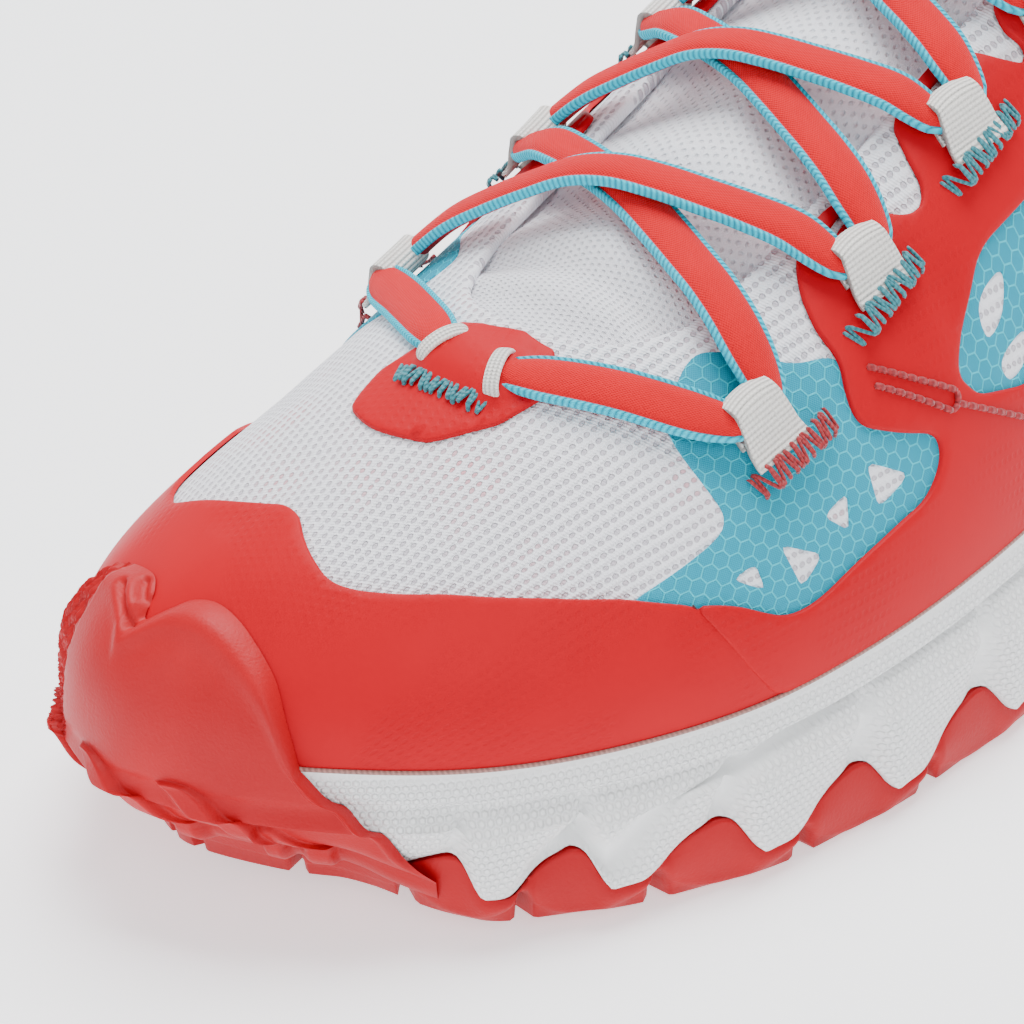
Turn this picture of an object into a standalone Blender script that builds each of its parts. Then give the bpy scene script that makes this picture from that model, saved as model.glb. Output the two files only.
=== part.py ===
# Trail running shoe, left foot, as the separate pieces that a maker joins.
# Metres, +X to the toe, +Y to the outer (lateral) side, +Z up, origin on the ground under the middle of the shoe.
import bpy
import bmesh
import numpy as np

# driving dimensions
SHOE_LENGTH = 0.280
BALL_WIDTH = 0.099
INSTEP_HEIGHT = 0.100
TOE_SPRING = 0.0078
HEEL_SPRING = 0.0040
UPPER_WALL = 0.0020
COLLAR_PADDING = 0.0035
OVERLAY_WALL = 0.0008
CUT_DEPTH = 0.0030
FOOT_INSET = 0.0050
GAP = 0.0003

LUG_DEPTH = 0.0045
OUTSOLE_BASE = 0.0025
LOBE_FOOT = 0.0042
LOBE_RISE = 0.0070
LOBE_RECESS = 0.0018
BUMPER_WALL = 0.0018
BUMPER_ROOT = 0.0028
TOE_ROUNDING = 0.0080
INSOLE_INSET = 0.0082
INSOLE_BEVEL = 0.0010
SPINE_END = 0.36
TOE_SPRING_START = 0.74
HEEL_SPRING_END = 0.12
SOLE_FLAT_SHARE = 0.84
MIDDLE_SHARE = 0.4982
INSOLE_THICKNESS = 0.0040

TONGUE_THICKNESS = 0.0050
TONGUE_SEAM_THICKNESS = 0.0022
WEBBING_WIDTH = 0.0120
WEBBING_WALL = 0.0011
LOOP_HEIGHT = 0.0042
LACE_WIDTH = 0.0072
LACE_THICKNESS = 0.0022
LACE_CLEARANCE = 0.0010
LACE_POINTS = 7

# One row for each section round the shoe, from the heel tip to the toe tip. x is a share of the shoe length,
# y (lat, med) and reach and lean are shares of the ball width, z is a share of the instep height.
# sole: outline of the sole; rim: feather line; edge: collar and throat edge; lean, rise: how the wall leaves
# the feather line; reach, drop: how it arrives at the edge (rise and drop are shares of the wall's height).
SECTION_COLUMNS = ("name", "sole_x", "sole_lat", "sole_med", "rim_z", "edge_x", "edge_lat", "edge_med", "edge_z",
                   "lean", "rise", "reach", "drop")
SECTIONS = (
    ("heel tip", 0.000, -0.005, -0.005, 0.365, 0.025, -0.005, -0.005, 0.960, 0.035, 0.33, 0.010, 0.37),
    ("heel corner", 0.014, 0.175, -0.175, 0.365, 0.036, 0.115, -0.120, 0.940, 0.032, 0.33, 0.012, 0.34),
    ("heel side", 0.055, 0.303, -0.298, 0.362, 0.072, 0.208, -0.212, 0.880, 0.026, 0.32, 0.020, 0.30),
    ("rear quarter", 0.130, 0.358, -0.348, 0.356, 0.136, 0.262, -0.262, 0.790, 0.020, 0.32, 0.030, 0.30),
    ("ankle", 0.220, 0.369, -0.348, 0.345, 0.214, 0.286, -0.283, 0.745, 0.010, 0.33, 0.036, 0.30),
    ("mid quarter", 0.320, 0.374, -0.335, 0.328, 0.296, 0.268, -0.265, 0.815, 0.002, 0.35, 0.058, 0.26),
    ("instep", 0.410, 0.399, -0.343, 0.308, 0.362, 0.205, -0.205, 0.970, 0.000, 0.34, 0.105, 0.20),
    ("throat top", 0.490, 0.440, -0.379, 0.289, 0.420, 0.172, -0.170, 0.975, 0.000, 0.33, 0.135, 0.14),
    ("fourth row", 0.565, 0.478, -0.434, 0.272, 0.492, 0.180, -0.176, 0.890, 0.004, 0.33, 0.142, 0.12),
    ("third row", 0.640, 0.499, -0.481, 0.258, 0.569, 0.190, -0.186, 0.798, 0.008, 0.33, 0.142, 0.12),
    ("second row", 0.710, 0.497, -0.500, 0.246, 0.646, 0.196, -0.192, 0.705, 0.010, 0.34, 0.140, 0.13),
    ("first row", 0.780, 0.467, -0.495, 0.234, 0.712, 0.194, -0.190, 0.638, 0.012, 0.36, 0.135, 0.15),
    ("throat corner", 0.845, 0.401, -0.478, 0.223, 0.748, 0.150, -0.150, 0.622, 0.012, 0.38, 0.160, 0.19),
    ("small toes", 0.900, 0.313, -0.443, 0.213, 0.764, 0.095, -0.100, 0.627, 0.010, 0.40, 0.220, 0.26),
    ("toe side", 0.945, 0.197, -0.386, 0.206, 0.770, 0.045, -0.060, 0.632, 0.008, 0.42, 0.280, 0.32),
    ("toe corner", 0.980, 0.061, -0.293, 0.200, 0.772, 0.012, -0.032, 0.634, 0.008, 0.44, 0.310, 0.36),
    ("toe tip", 1.000, -0.121, -0.121, 0.196, 0.773, -0.010, -0.010, 0.635, 0.008, 0.45, 0.320, 0.38),
)
HALF_ROUND = len(SECTIONS) - 1
ROUND = 2 * HALF_ROUND

# Middles of the sole's side lobes, as shares of the way round its edge from the toe tip to the heel tip.
LOBE_PLACES = (0.0, 0.055, 0.108, 0.152, 0.202, 0.267, 0.334, 0.407, 0.481, 0.555, 0.629, 0.703, 0.777, 0.851,
               0.925, 1.0)
# One row for each step from a lobe to the next one behind it: share of the way, share of the arch's rise,
# and whether an edge lug and an inner lug stand there.
LOBE_STEP_COLUMNS = ("place", "arch", "edge_lug", "inner_lug")
LOBE_STEPS = ((0.00, 0.00, 1, 0), (0.26, 0.28, 1, 0), (0.50, 0.80, 0, 1), (0.76, 0.98, 0, 1))

# Side of the midsole from the rim down: inset from the sole's edge, drop from the rim, share of the drop to the
# lobe's edge, and the shares of the toe's recess and rounding that reach it.
SIDE_COLUMNS = ("name", "inset", "drop", "share", "recess", "rounding")
MIDSOLE_SIDE = (
    ("rim", 0.0042, 0.0000, 0.00, 0.0, 0.00),
    ("band", 0.0032, 0.0040, 0.00, 0.3, 0.00),
    ("groove", 0.0040, 0.0052, 0.00, 0.1, 0.00),
    ("bulge", 0.0014, 0.0072, 0.10, 1.0, 0.00),
    ("lobe", 0.0002, 0.0000, 0.78, 1.0, 0.35),
    ("lobe edge", 0.0005, 0.0000, 1.00, 1.0, 0.80),
)

# Toe bumper: place round the shoe, height of its top (0 to 1 up the sole's side, then 1 + share up the upper).
BUMPER_COLUMNS = ("u", "top")
BUMPER = ((13.30, 0.16), (13.70, 0.38), (14.10, 0.72), (14.42, 1.00), (14.60, 1.16), (14.85, 1.28), (15.10, 1.34),
          (15.45, 1.38), (15.85, 1.38), (16.10, 1.33), (16.35, 1.31), (16.60, 1.35), (16.95, 1.37), (17.35, 1.35),
          (17.75, 1.29), (18.10, 1.22), (18.40, 1.10), (18.70, 0.80))

# Overlays and panels lie on the upper. Each row is one line across a panel, from its lower end through a bend
# to its upper end, in the upper's own u (place round the shoe) and v (share of the way up the wall).
PANEL_COLUMNS = ("low_u", "low_v", "bend_u", "bend_v", "top_u", "top_v")
MUDGUARD = (
    (10.76, 0.02, 11.08, 0.17, 11.42, 0.31), (11.40, 0.02, 11.70, 0.18, 12.02, 0.38),
    (12.20, 0.02, 12.40, 0.22, 12.70, 0.43), (13.20, 0.02, 13.40, 0.24, 13.60, 0.46),
    (13.90, 0.02, 14.05, 0.24, 14.20, 0.46), (14.50, 0.02, 14.60, 0.24, 14.72, 0.48),
    (14.95, 0.02, 15.00, 0.28, 15.04, 0.53), (15.50, 0.02, 15.53, 0.30, 15.56, 0.60),
    (16.00, 0.02, 16.00, 0.30, 16.00, 0.61), (16.50, 0.02, 16.50, 0.28, 16.50, 0.57),
    (17.10, 0.02, 17.05, 0.25, 17.00, 0.51), (17.60, 0.02, 17.55, 0.23, 17.50, 0.46),
    (18.30, 0.02, 18.15, 0.22, 18.00, 0.44), (19.00, 0.02, 18.90, 0.22, 18.70, 0.43),
    (19.80, 0.02, 19.60, 0.22, 19.30, 0.42), (20.60, 0.02, 20.30, 0.18, 19.98, 0.38),
    (21.24, 0.02, 20.92, 0.17, 20.58, 0.31),
)
QUARTER = (
    (10.73, 0.02, 11.05, 0.17, 11.39, 0.305), (10.40, 0.02, 10.58, 0.11, 10.80, 0.205),
    (10.10, 0.02, 10.25, 0.11, 10.42, 0.195), (9.75, 0.02, 9.82, 0.12, 9.90, 0.230),
    (9.40, 0.02, 9.38, 0.12, 9.36, 0.230), (9.05, 0.02, 9.08, 0.16, 9.16, 0.290),
    (8.85, 0.02, 8.90, 0.26, 9.30, 0.400), (8.70, 0.02, 8.72, 0.36, 9.72, 0.500),
    (8.55, 0.02, 8.56, 0.46, 9.86, 0.620), (8.42, 0.02, 8.42, 0.54, 10.02, 0.760),
    (8.30, 0.02, 8.28, 0.60, 10.06, 0.930), (8.18, 0.02, 8.15, 0.64, 9.74, 0.950),
    (8.06, 0.02, 8.02, 0.66, 9.44, 0.820), (7.94, 0.02, 7.90, 0.68, 9.12, 0.760),
    (7.82, 0.02, 7.78, 0.70, 9.12, 0.950), (7.66, 0.02, 7.60, 0.72, 8.74, 0.965),
    (7.50, 0.02, 7.45, 0.72, 8.44, 0.850), (7.34, 0.02, 7.28, 0.72, 8.16, 0.790),
    (7.18, 0.02, 7.12, 0.72, 8.14, 0.950), (7.00, 0.02, 6.94, 0.70, 7.78, 0.965),
    (6.80, 0.02, 6.75, 0.66, 7.30, 0.960), (6.50, 0.02, 6.45, 0.60, 6.80, 0.955),
    (6.00, 0.02, 5.95, 0.55, 6.10, 0.930), (5.30, 0.02, 5.25, 0.45, 5.30, 0.860),
    (4.50, 0.02, 4.50, 0.40, 4.50, 0.800), (3.60, 0.02, 3.60, 0.38, 3.60, 0.740),
    (2.60, 0.02, 2.60, 0.36, 2.60, 0.700), (1.60, 0.02, 1.60, 0.36, 1.60, 0.690),
    (0.80, 0.02, 0.80, 0.36, 0.80, 0.700), (0.06, 0.02, 0.06, 0.36, 0.06, 0.710),
)
RIPSTOP = (
    (11.92, 0.385, 11.90, 0.392, 11.88, 0.400), (11.62, 0.352, 11.56, 0.385, 11.52, 0.420),
    (11.30, 0.322, 11.20, 0.380, 11.16, 0.460), (11.05, 0.275, 11.05, 0.400, 11.22, 0.570),
    (10.88, 0.235, 10.95, 0.440, 11.48, 0.700), (10.70, 0.225, 10.80, 0.480, 11.46, 0.830),
    (10.52, 0.220, 10.62, 0.500, 11.18, 0.890), (10.32, 0.228, 10.42, 0.480, 10.64, 0.780),
    (10.12, 0.242, 10.16, 0.420, 10.12, 0.640), (9.90, 0.254, 9.96, 0.380, 9.98, 0.540),
    (9.66, 0.258, 9.72, 0.350, 9.80, 0.440), (9.46, 0.256, 9.42, 0.290, 9.38, 0.335),
)
TOE_PATCH = (
    (16.78, 0.780, 17.10, 0.800, 17.48, 0.840), (16.20, 0.785, 16.90, 0.840, 17.52, 0.920),
    (15.60, 0.785, 16.00, 0.880, 16.90, 0.965), (14.90, 0.785, 15.20, 0.880, 15.60, 0.970),
    (14.20, 0.800, 14.40, 0.880, 14.40, 0.970), (13.72, 0.830, 13.50, 0.880, 13.50, 0.955),
    (13.36, 0.860, 13.24, 0.890, 13.20, 0.925),
)

# Tongue: where its sides run under the upper (u, v), where its face leaves the throat edge (u, v),
# and its middle line as shares of length and instep height.
TONGUE_COLUMNS = ("name", "side_u", "side_v", "edge_u", "edge_v", "mid_x", "mid_z")
TONGUE = (
    ("seam", 12.70, 0.72, 13.60, 0.84, 0.816, 0.540),
    ("throat corner", 12.25, 0.78, 12.75, 0.94, 0.776, 0.600),
    ("first bay", 11.65, 0.82, 11.80, 1.00, 0.742, 0.640),
    ("first row", 11.00, 0.84, 11.00, 1.00, 0.705, 0.682),
    ("second row", 10.00, 0.84, 10.00, 1.00, 0.640, 0.755),
    ("third row", 9.00, 0.84, 9.00, 1.00, 0.563, 0.846),
    ("fourth row", 8.00, 0.86, 8.00, 1.00, 0.486, 0.936),
    ("fifth row", 7.35, 0.93, 7.35, 1.00, 0.434, 1.000),
)
# Free end of the tongue: middle line, half width and how far its sides hang below its middle; the sides also
# sweep back by TONGUE_SWEEP of the half width.
TONGUE_SWEEP = 0.06
TONGUE_TOP_COLUMNS = ("name", "mid_x", "mid_z", "half_width", "crown")
TONGUE_TOP = (("above the laces", 0.396, 1.062, 0.140, 0.050), ("tip", 0.366, 1.140, 0.150, 0.050))

# Webbing loops on the lateral side, numbered from the toe; the medial side mirrors them.
LOOP_COLUMNS = ("tack_u", "tack_v", "mouth_u", "mouth_v")
LOOPS = ((10.62, 0.555, 10.86, 0.700), (9.55, 0.665, 9.74, 0.800), (8.55, 0.720, 8.76, 0.860),
         (7.63, 0.750, 7.85, 0.890), (6.66, 0.770, 6.84, 0.900))

PIECES = bpy.data.collections.new("trail_running_shoe")
CUTTERS = bpy.data.collections.new("cutters")


def column(table, columns, name):
    place = columns.index(name)
    return np.array([row[place] for row in table], float)


def ring_of(lateral, medial):
    """Values of the sections once round the shoe: up the lateral side, back down the medial side."""
    first = column(SECTIONS, SECTION_COLUMNS, lateral)
    second = column(SECTIONS, SECTION_COLUMNS, medial)
    return np.concatenate([first, second[-2:0:-1]])


RINGS = {name: ring_of(name, name) for name in SECTION_COLUMNS[1:] if not name.endswith(("lat", "med"))}
RINGS["sole_y"] = ring_of("sole_lat", "sole_med")
RINGS["edge_y"] = ring_of("edge_lat", "edge_med")


def around(name, u):
    """A smooth cubic curve through the sections' values, closed round the shoe."""
    u = np.asarray(u, float)
    first = np.floor(u).astype(int)
    part = u - first
    a, b, c, d = (RINGS[name][(first + step) % ROUND] for step in (-1, 0, 1, 2))
    return b + 0.5 * part * (c - a + part * (2 * a - 5 * b + 4 * c - d + part * (3 * (b - c) + d - a)))


def unit(vectors):
    return vectors / np.linalg.norm(vectors, axis=-1, keepdims=True)


def at_height(flat, z):
    return np.concatenate([flat, np.broadcast_to(z, flat.shape[:-1])[..., None]], -1)


def sole_edge(u):
    x = (around("sole_x", u) - MIDDLE_SHARE) * SHOE_LENGTH
    return np.stack([x, around("sole_y", u) * BALL_WIDTH], -1)


def sole_outward(u):
    along = unit(sole_edge(u + 0.01) - sole_edge(u - 0.01))
    return np.stack([-along[..., 1], along[..., 0]], -1)


def inset_edge(u, inset):
    return sole_edge(u) - sole_outward(u) * np.asarray(inset)[..., None]


def spring(x):
    """How far the sole lifts off the ground towards the toe and the heel."""
    share = x / SHOE_LENGTH + MIDDLE_SHARE
    toe = np.clip((share - TOE_SPRING_START) / (1 - TOE_SPRING_START), 0, None) ** 1.8
    heel = np.clip((HEEL_SPRING_END - share) / HEEL_SPRING_END, 0, None) ** 2
    return TOE_SPRING * toe + HEEL_SPRING * heel


def rim_height(u):
    return around("rim_z", u) * INSTEP_HEIGHT + spring(sole_edge(u)[..., 0])


def toe_share(u):
    """One in the middle of the toe, fading smoothly to nothing where the bumper ends."""
    away = np.abs(np.asarray(u, float) - HALF_ROUND)
    share = np.clip((3.0 - away) / 1.4, 0, 1)
    return share ** 2 * (3 - 2 * share)


def feather(u):
    return at_height(inset_edge(u, np.full(np.shape(u), FOOT_INSET)), rim_height(u))


def top_edge(u):
    x = (around("edge_x", u) - MIDDLE_SHARE) * SHOE_LENGTH
    return np.stack([x, around("edge_y", u) * BALL_WIDTH, around("edge_z", u) * INSTEP_HEIGHT], -1)


def upper(u, v):
    """Outer face of the upper: a Bezier curve from the feather line, v = 0, to the collar or throat edge, v = 1."""
    u, v = np.broadcast_arrays(np.asarray(u, float), np.asarray(v, float))
    start = feather(u)
    end = top_edge(u)
    height = (end - start)[..., 2]
    away = unit((start - end) * np.array([1.0, 1.0, 0.0]))
    lean = at_height(sole_outward(u), 0.0) * (around("lean", u) * BALL_WIDTH)[..., None]
    rise = at_height(np.zeros(u.shape + (2,)), around("rise", u) * height)
    reach = away * (around("reach", u) * BALL_WIDTH)[..., None]
    drop = at_height(np.zeros(u.shape + (2,)), around("drop", u) * height)
    w = v[..., None]
    low = start * (1 - w) ** 3 + 3 * (start + lean + rise) * w * (1 - w) ** 2
    return low + 3 * (end + reach - drop) * w ** 2 * (1 - w) + end * w ** 3


def upper_outward(u, v):
    u, v = np.broadcast_arrays(np.asarray(u, float), np.asarray(v, float))
    along = upper(u + 0.02, v) - upper(u - 0.02, v)
    up = upper(u, np.minimum(v + 0.01, 1)) - upper(u, np.maximum(v - 0.01, 0))
    return unit(np.cross(up, along))


def on_upper(u, v, offset):
    return upper(u, v) + upper_outward(u, v) * np.asarray(offset)[..., None]


def material(name, colour, roughness):
    made = bpy.data.materials.new(name)
    made.use_nodes = True
    shader = made.node_tree.nodes["Principled BSDF"]
    shader.inputs["Base Color"].default_value = (*colour, 1)
    shader.inputs["Roughness"].default_value = roughness
    return made


def grid_object(name, grid, finish, closed_rows, closed_columns, capped_walls=False):
    """An object from a grid of points (rows, columns, 3); each direction may close on itself.

    A wall, whose rows are an outer face and then an inner face, gets its two ends from capped_walls."""
    rows, columns = grid.shape[:2]
    row_ends = np.arange(rows if closed_rows else rows - 1)[:, None]
    column_ends = np.arange(columns if closed_columns else columns - 1)[None, :]
    around_face = ((0, 0), (0, 1), (1, 1), (1, 0))
    corners = [((row_ends + r) % rows) * columns + (column_ends + c) % columns for r, c in around_face]
    faces = np.stack(corners, -1).reshape(-1, 4)
    if closed_rows and not closed_columns and capped_walls:
        lower = np.arange(rows // 2 - 1)
        opposite = rows - 1 - lower
        for end in (0, columns - 1):
            side = np.stack([lower, lower + 1, opposite - 1, opposite], -1) * columns + end
            faces = np.concatenate([faces, side])
    mesh = bpy.data.meshes.new(name)
    mesh.from_pydata(grid.reshape(-1, 3).tolist(), [], faces.tolist())
    shape = bmesh.new()
    shape.from_mesh(mesh)
    bmesh.ops.remove_doubles(shape, verts=shape.verts, dist=0.00001)
    bmesh.ops.holes_fill(shape, edges=[edge for edge in shape.edges if edge.is_boundary], sides=0)
    bmesh.ops.triangulate(shape, faces=shape.faces)
    bmesh.ops.recalc_face_normals(shape, faces=shape.faces)
    shape.to_mesh(mesh)
    shape.free()
    mesh.shade_smooth()
    mesh.set_sharp_from_angle(angle=np.radians(40))
    made = bpy.data.objects.new(name, mesh)
    mesh.materials.append(finish)
    PIECES.objects.link(made)
    return made


def shell(outer, inner):
    """Rows of an outer face and then, backwards, of the inner face, so that closed rows make a wall."""
    return np.concatenate([outer, inner[::-1]])


def combine(target, other, operation):
    """Joins another form to a piece, or keeps only what lies inside it; the other form becomes a hidden cutter."""
    other.hide_render = True
    other.display_type = "WIRE"
    PIECES.objects.unlink(other)
    CUTTERS.objects.link(other)
    modifier = target.modifiers.new(operation.lower(), "BOOLEAN")
    modifier.operation = operation
    modifier.object = other


# Columns of the sole's pieces, placed at the steps of each lobe, the same on both sides.
def sole_columns():
    """Values of u once round the sole, the arch share and the lugs at each."""
    fine = np.linspace(HALF_ROUND, 0, 1601)
    edge = sole_edge(fine)
    girth = np.concatenate([[0], np.cumsum(np.linalg.norm(np.diff(edge, axis=0), axis=1))])
    places, rows = [], []
    for near, far in zip(LOBE_PLACES[:-1], LOBE_PLACES[1:]):
        for step in LOBE_STEPS:
            places.append(near + (far - near) * step[0])
            rows.append(step)
    places.append(LOBE_PLACES[-1])
    rows.append(LOBE_STEPS[0])
    u = np.interp(np.array(places) * girth[-1], girth, fine)
    table = {name: column(rows, LOBE_STEP_COLUMNS, name) for name in LOBE_STEP_COLUMNS}
    round_u = np.concatenate([u, ROUND - u[-2:0:-1]])
    return round_u, {name: np.concatenate([value, value[-2:0:-1]]) for name, value in table.items()}


SOLE_U, STEP = sole_columns()


def spine(u, top=False):
    """Middle line of the sole that all rings close on, or its rim's height there; opposite places share one point."""
    limit = SHOE_LENGTH * 0.5 - BALL_WIDTH * SPINE_END
    fine = np.linspace(0, HALF_ROUND, 801)
    line = 0.5 * (sole_edge(fine) + sole_edge(ROUND - fine))
    x = np.clip(0.5 * (sole_edge(u) + sole_edge(ROUND - u))[..., 0], -limit, limit)
    if top:
        return np.interp(x, line[:, 0], rim_height(fine))
    return np.stack([x, np.interp(x, line[:, 0], line[:, 1])], -1)


def lobe_edge_height(u, arch):
    """Height of the midsole's lower edge over the springing ground line: lobes and the arches between them."""
    return LOBE_FOOT + LOBE_RISE * arch * (1 - toe_share(u)) + 0.003 * toe_share(u)


def midsole_side(u, arch):
    """Rings of the midsole's side from the rim down to the wavy edge."""
    rings = []
    low = lobe_edge_height(u, arch) + spring(sole_edge(u)[..., 0])
    rim = rim_height(u) - GAP
    toe = toe_share(u)
    for _, inset, drop, share, recess, rounding in MIDSOLE_SIDE:
        back = inset + (BUMPER_WALL + GAP) * recess * toe + TOE_ROUNDING * rounding * toe
        back = back + LOBE_RECESS * arch * (1 - toe) * max(0.0, share - 0.3) / 0.7
        z = rim - drop - (rim - drop - low) * share
        rings.append(at_height(inset_edge(u, back), z))
    return np.array(rings)


def toward_spine(u, share, inset=0.0):
    """Points between the middle line (share 0) and the edge (share 1)."""
    edge = inset_edge(u, np.full(np.shape(u), inset))
    middle = spine(u)
    return middle + (edge - middle) * share


def base_height(flat):
    return LUG_DEPTH + OUTSOLE_BASE + spring(flat[..., 0])


def build_midsole():
    u = SOLE_U
    under = toward_spine(u, SOLE_FLAT_SHARE, TOE_ROUNDING * 0.5)
    middle = spine(u)
    rings = [at_height(middle, spine(u, top=True) - GAP)]
    rings += list(midsole_side(u, STEP["arch"]))
    rings += [at_height(under, base_height(under)), at_height(middle, base_height(middle))]
    white = material("midsole foam", (0.78, 0.79, 0.79), 0.6)
    return grid_object("midsole", np.array(rings), white, False, True)


def build_outsole():
    u, arch = SOLE_U, STEP["arch"]
    toe = toe_share(u)
    ground = spring(sole_edge(u)[..., 0])
    top = lobe_edge_height(u, arch) + ground - GAP
    edge_inset = 0.0007 + LOBE_RECESS * arch * (1 - toe) * 0.8
    edge_inset = edge_inset * (1 - toe) + toe * (TOE_ROUNDING * 0.8 - 0.0008)
    foot_inset = edge_inset + 0.0006 + toe * TOE_ROUNDING * 0.45
    middle = spine(u)
    inner_top = toward_spine(u, SOLE_FLAT_SHARE, TOE_ROUNDING * 0.5)
    rings = [at_height(middle, base_height(middle) - GAP), at_height(inner_top, base_height(inner_top) - GAP),
             at_height(inset_edge(u, edge_inset), top)]
    levels = ((1.00, "edge_lug"), (0.76, "edge_lug"), (0.68, "inner_lug"), (0.40, "inner_lug"), (0.32, "edge_lug"),
              (0.0, None))
    foot = inset_edge(u, foot_inset)
    for share, lug in levels:
        flat = middle + (foot - middle) * share
        stands = STEP[lug] if lug else 0.0
        z = spring(flat[..., 0]) + LUG_DEPTH * (1 - stands)
        rings.append(at_height(flat, z))
    red = material("outsole rubber", (0.62, 0.06, 0.07), 0.55)
    sole = grid_object("outsole", np.array(rings), red, False, True)
    combine(sole, build_bumper(red), "UNION")
    return sole


def toe_path(u, height):
    """Outer face of the toe: up the midsole's side for heights 0 to 1, then up the upper."""
    side = midsole_side(u, np.zeros(np.shape(u)))[::-1]
    place = np.clip(height, 0, 1) * (len(side) - 1)
    low = np.minimum(np.floor(place).astype(int), len(side) - 2)
    part = (place - low)[..., None]
    index = np.arange(len(u))
    on_side = side[low, index] * (1 - part) + side[low + 1, index] * part
    v = np.clip(height - 1, 0, None)
    up_wall = upper(u, v)
    out_side = at_height(sole_outward(u), 0.25)
    off_side = 3 * GAP
    off_wall = 4 * GAP + OVERLAY_WALL
    past = np.clip((height - 0.9) / 0.2, 0, 1)
    above = (height > 1.0)[..., None]
    base = np.where(above, up_wall, on_side)
    outward = unit(unit(out_side) * (1 - past[..., None]) + upper_outward(u, v) * past[..., None])
    return base, outward, off_side + (off_wall - off_side) * past


# Rows of the bumper: share of the way up the sole's side, then share of its height on the upper.
BUMPER_ROWS = ((0.02, 0.0), (0.2, 0.0), (0.4, 0.0), (0.8, 0.0), (1.0, 0.0), (1.0, 0.5), (1.0, 1.0))


def build_bumper(finish):
    u = column(BUMPER, BUMPER_COLUMNS, "u")
    top = column(BUMPER, BUMPER_COLUMNS, "top")
    inner, outer = [], []
    low = lobe_edge_height(u, np.zeros(u.shape)) + spring(sole_edge(u)[..., 0])
    toe = toe_share(u)
    root = inset_edge(u, 0.0022 + toe * (TOE_ROUNDING * 0.8 - 0.0008))
    root_out = inset_edge(u, 0.0012 + toe * (TOE_ROUNDING * 0.8 - 0.0015))
    inner.append(at_height(root, low - BUMPER_ROOT))
    outer.append(at_height(root_out, low - BUMPER_ROOT))
    for side_share, wall_share in BUMPER_ROWS:
        height = side_share * np.minimum(top, 1) + wall_share * np.clip(top - 1, 0, None)
        base, outward, offset = toe_path(u, height)
        inner.append(base + outward * offset[..., None])
        outer.append(base + outward * (offset + BUMPER_WALL)[..., None])
    return grid_object("toe_bumper_form", shell(np.array(outer), np.array(inner)), finish, True, False, True)


def build_insole():
    u = SOLE_U[::3]
    flat = inset_edge(u, np.full(u.shape, INSOLE_INSET))
    top = inset_edge(u, np.full(u.shape, INSOLE_INSET + INSOLE_BEVEL))
    middle = spine(u)
    low = rim_height(u) + GAP
    middle_low = spine(u, top=True) + GAP
    rings = [at_height(middle, middle_low + INSOLE_THICKNESS), at_height(top, low + INSOLE_THICKNESS),
             at_height(flat, low), at_height(middle, middle_low)]
    return grid_object("insole", np.array(rings), material("insole foam", (0.75, 0.76, 0.78), 0.8), False, True)


# Facets of the upper; whatever lies on it shares them, so the two stay parallel.
HALF_U = np.concatenate([np.arange(0, 3, 0.5), np.arange(3, 8, 1.0), np.arange(8, HALF_ROUND, 0.5)])
WALL_U = np.concatenate([HALF_U, [HALF_ROUND], ROUND - HALF_U[:0:-1]])[None, :]
WALL_V = np.array([0.0, 0.12, 0.26, 0.41, 0.56, 0.71, 0.86, 1.0])[:, None]


def build_upper():
    away = np.minimum(WALL_U, ROUND - WALL_U)
    collar = np.clip((6.5 - away) / 1.5, 0, 1)
    padding = COLLAR_PADDING * collar * np.clip((WALL_V - 0.45) / 0.3, 0, 1) * np.clip((1.12 - WALL_V) / 0.2, 0, 1)
    outer = upper(WALL_U, WALL_V)
    inner = on_upper(WALL_U, WALL_V, -(UPPER_WALL + padding))
    inner[0, :, 2] = outer[0, :, 2]
    mesh_cloth = material("knit mesh", (0.82, 0.82, 0.88), 0.85)
    return grid_object("upper", shell(outer, inner), mesh_cloth, True, True)


def panel_form(name, table, rows, low, high, finish, mirrored=False):
    """A slab over the upper from one offset to another: each table row is a bent line across it in u and v."""
    ends = {key: column(table, PANEL_COLUMNS, key) for key in PANEL_COLUMNS}
    w = np.linspace(0, 1, rows)[:, None]
    mix = ((1 - w) ** 2, 2 * w * (1 - w), w ** 2)
    bend_u = 2 * ends["bend_u"] - 0.5 * (ends["low_u"] + ends["top_u"])
    bend_v = 2 * ends["bend_v"] - 0.5 * (ends["low_v"] + ends["top_v"])
    u = mix[0] * ends["low_u"] + mix[1] * bend_u + mix[2] * ends["top_u"]
    v = mix[0] * ends["low_v"] + mix[1] * bend_v + mix[2] * ends["top_v"]
    if mirrored:
        u = ROUND - u
    inner = on_upper(u, v, np.full(u.shape, low))
    outer = on_upper(u, v, np.full(u.shape, high))
    return grid_object(name, shell(outer, inner), finish, True, False, True)


def build_panel(name, table, rows, finish, mirrored=False):
    """A film over the whole upper, cut to the panel's outline."""
    share = np.zeros(np.broadcast(WALL_U, WALL_V).shape)
    inner = on_upper(WALL_U, WALL_V, share + GAP)
    outer = on_upper(WALL_U, WALL_V, share + GAP + OVERLAY_WALL)
    film = grid_object(name, shell(outer, inner), finish, True, True)
    outline = panel_form(f"{name}_outline", table, rows, -CUT_DEPTH, CUT_DEPTH, finish, mirrored)
    combine(film, outline, "INTERSECT")
    return film


def smooth_through(points, rows):
    """A smooth cubic curve through points (n, ..., 3), read at a number of even rows."""
    place = np.linspace(0, len(points) - 1, rows)
    first = np.minimum(np.floor(place).astype(int), len(points) - 2)
    part = (place - first).reshape((-1,) + (1,) * (points.ndim - 1))
    last = len(points) - 1
    a, b, c, d = (points[np.clip(first + step, 0, last)] for step in (-1, 0, 1, 2))
    return b + 0.5 * part * (c - a + part * (2 * a - 5 * b + 4 * c - d + part * (3 * (b - c) + d - a)))


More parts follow.
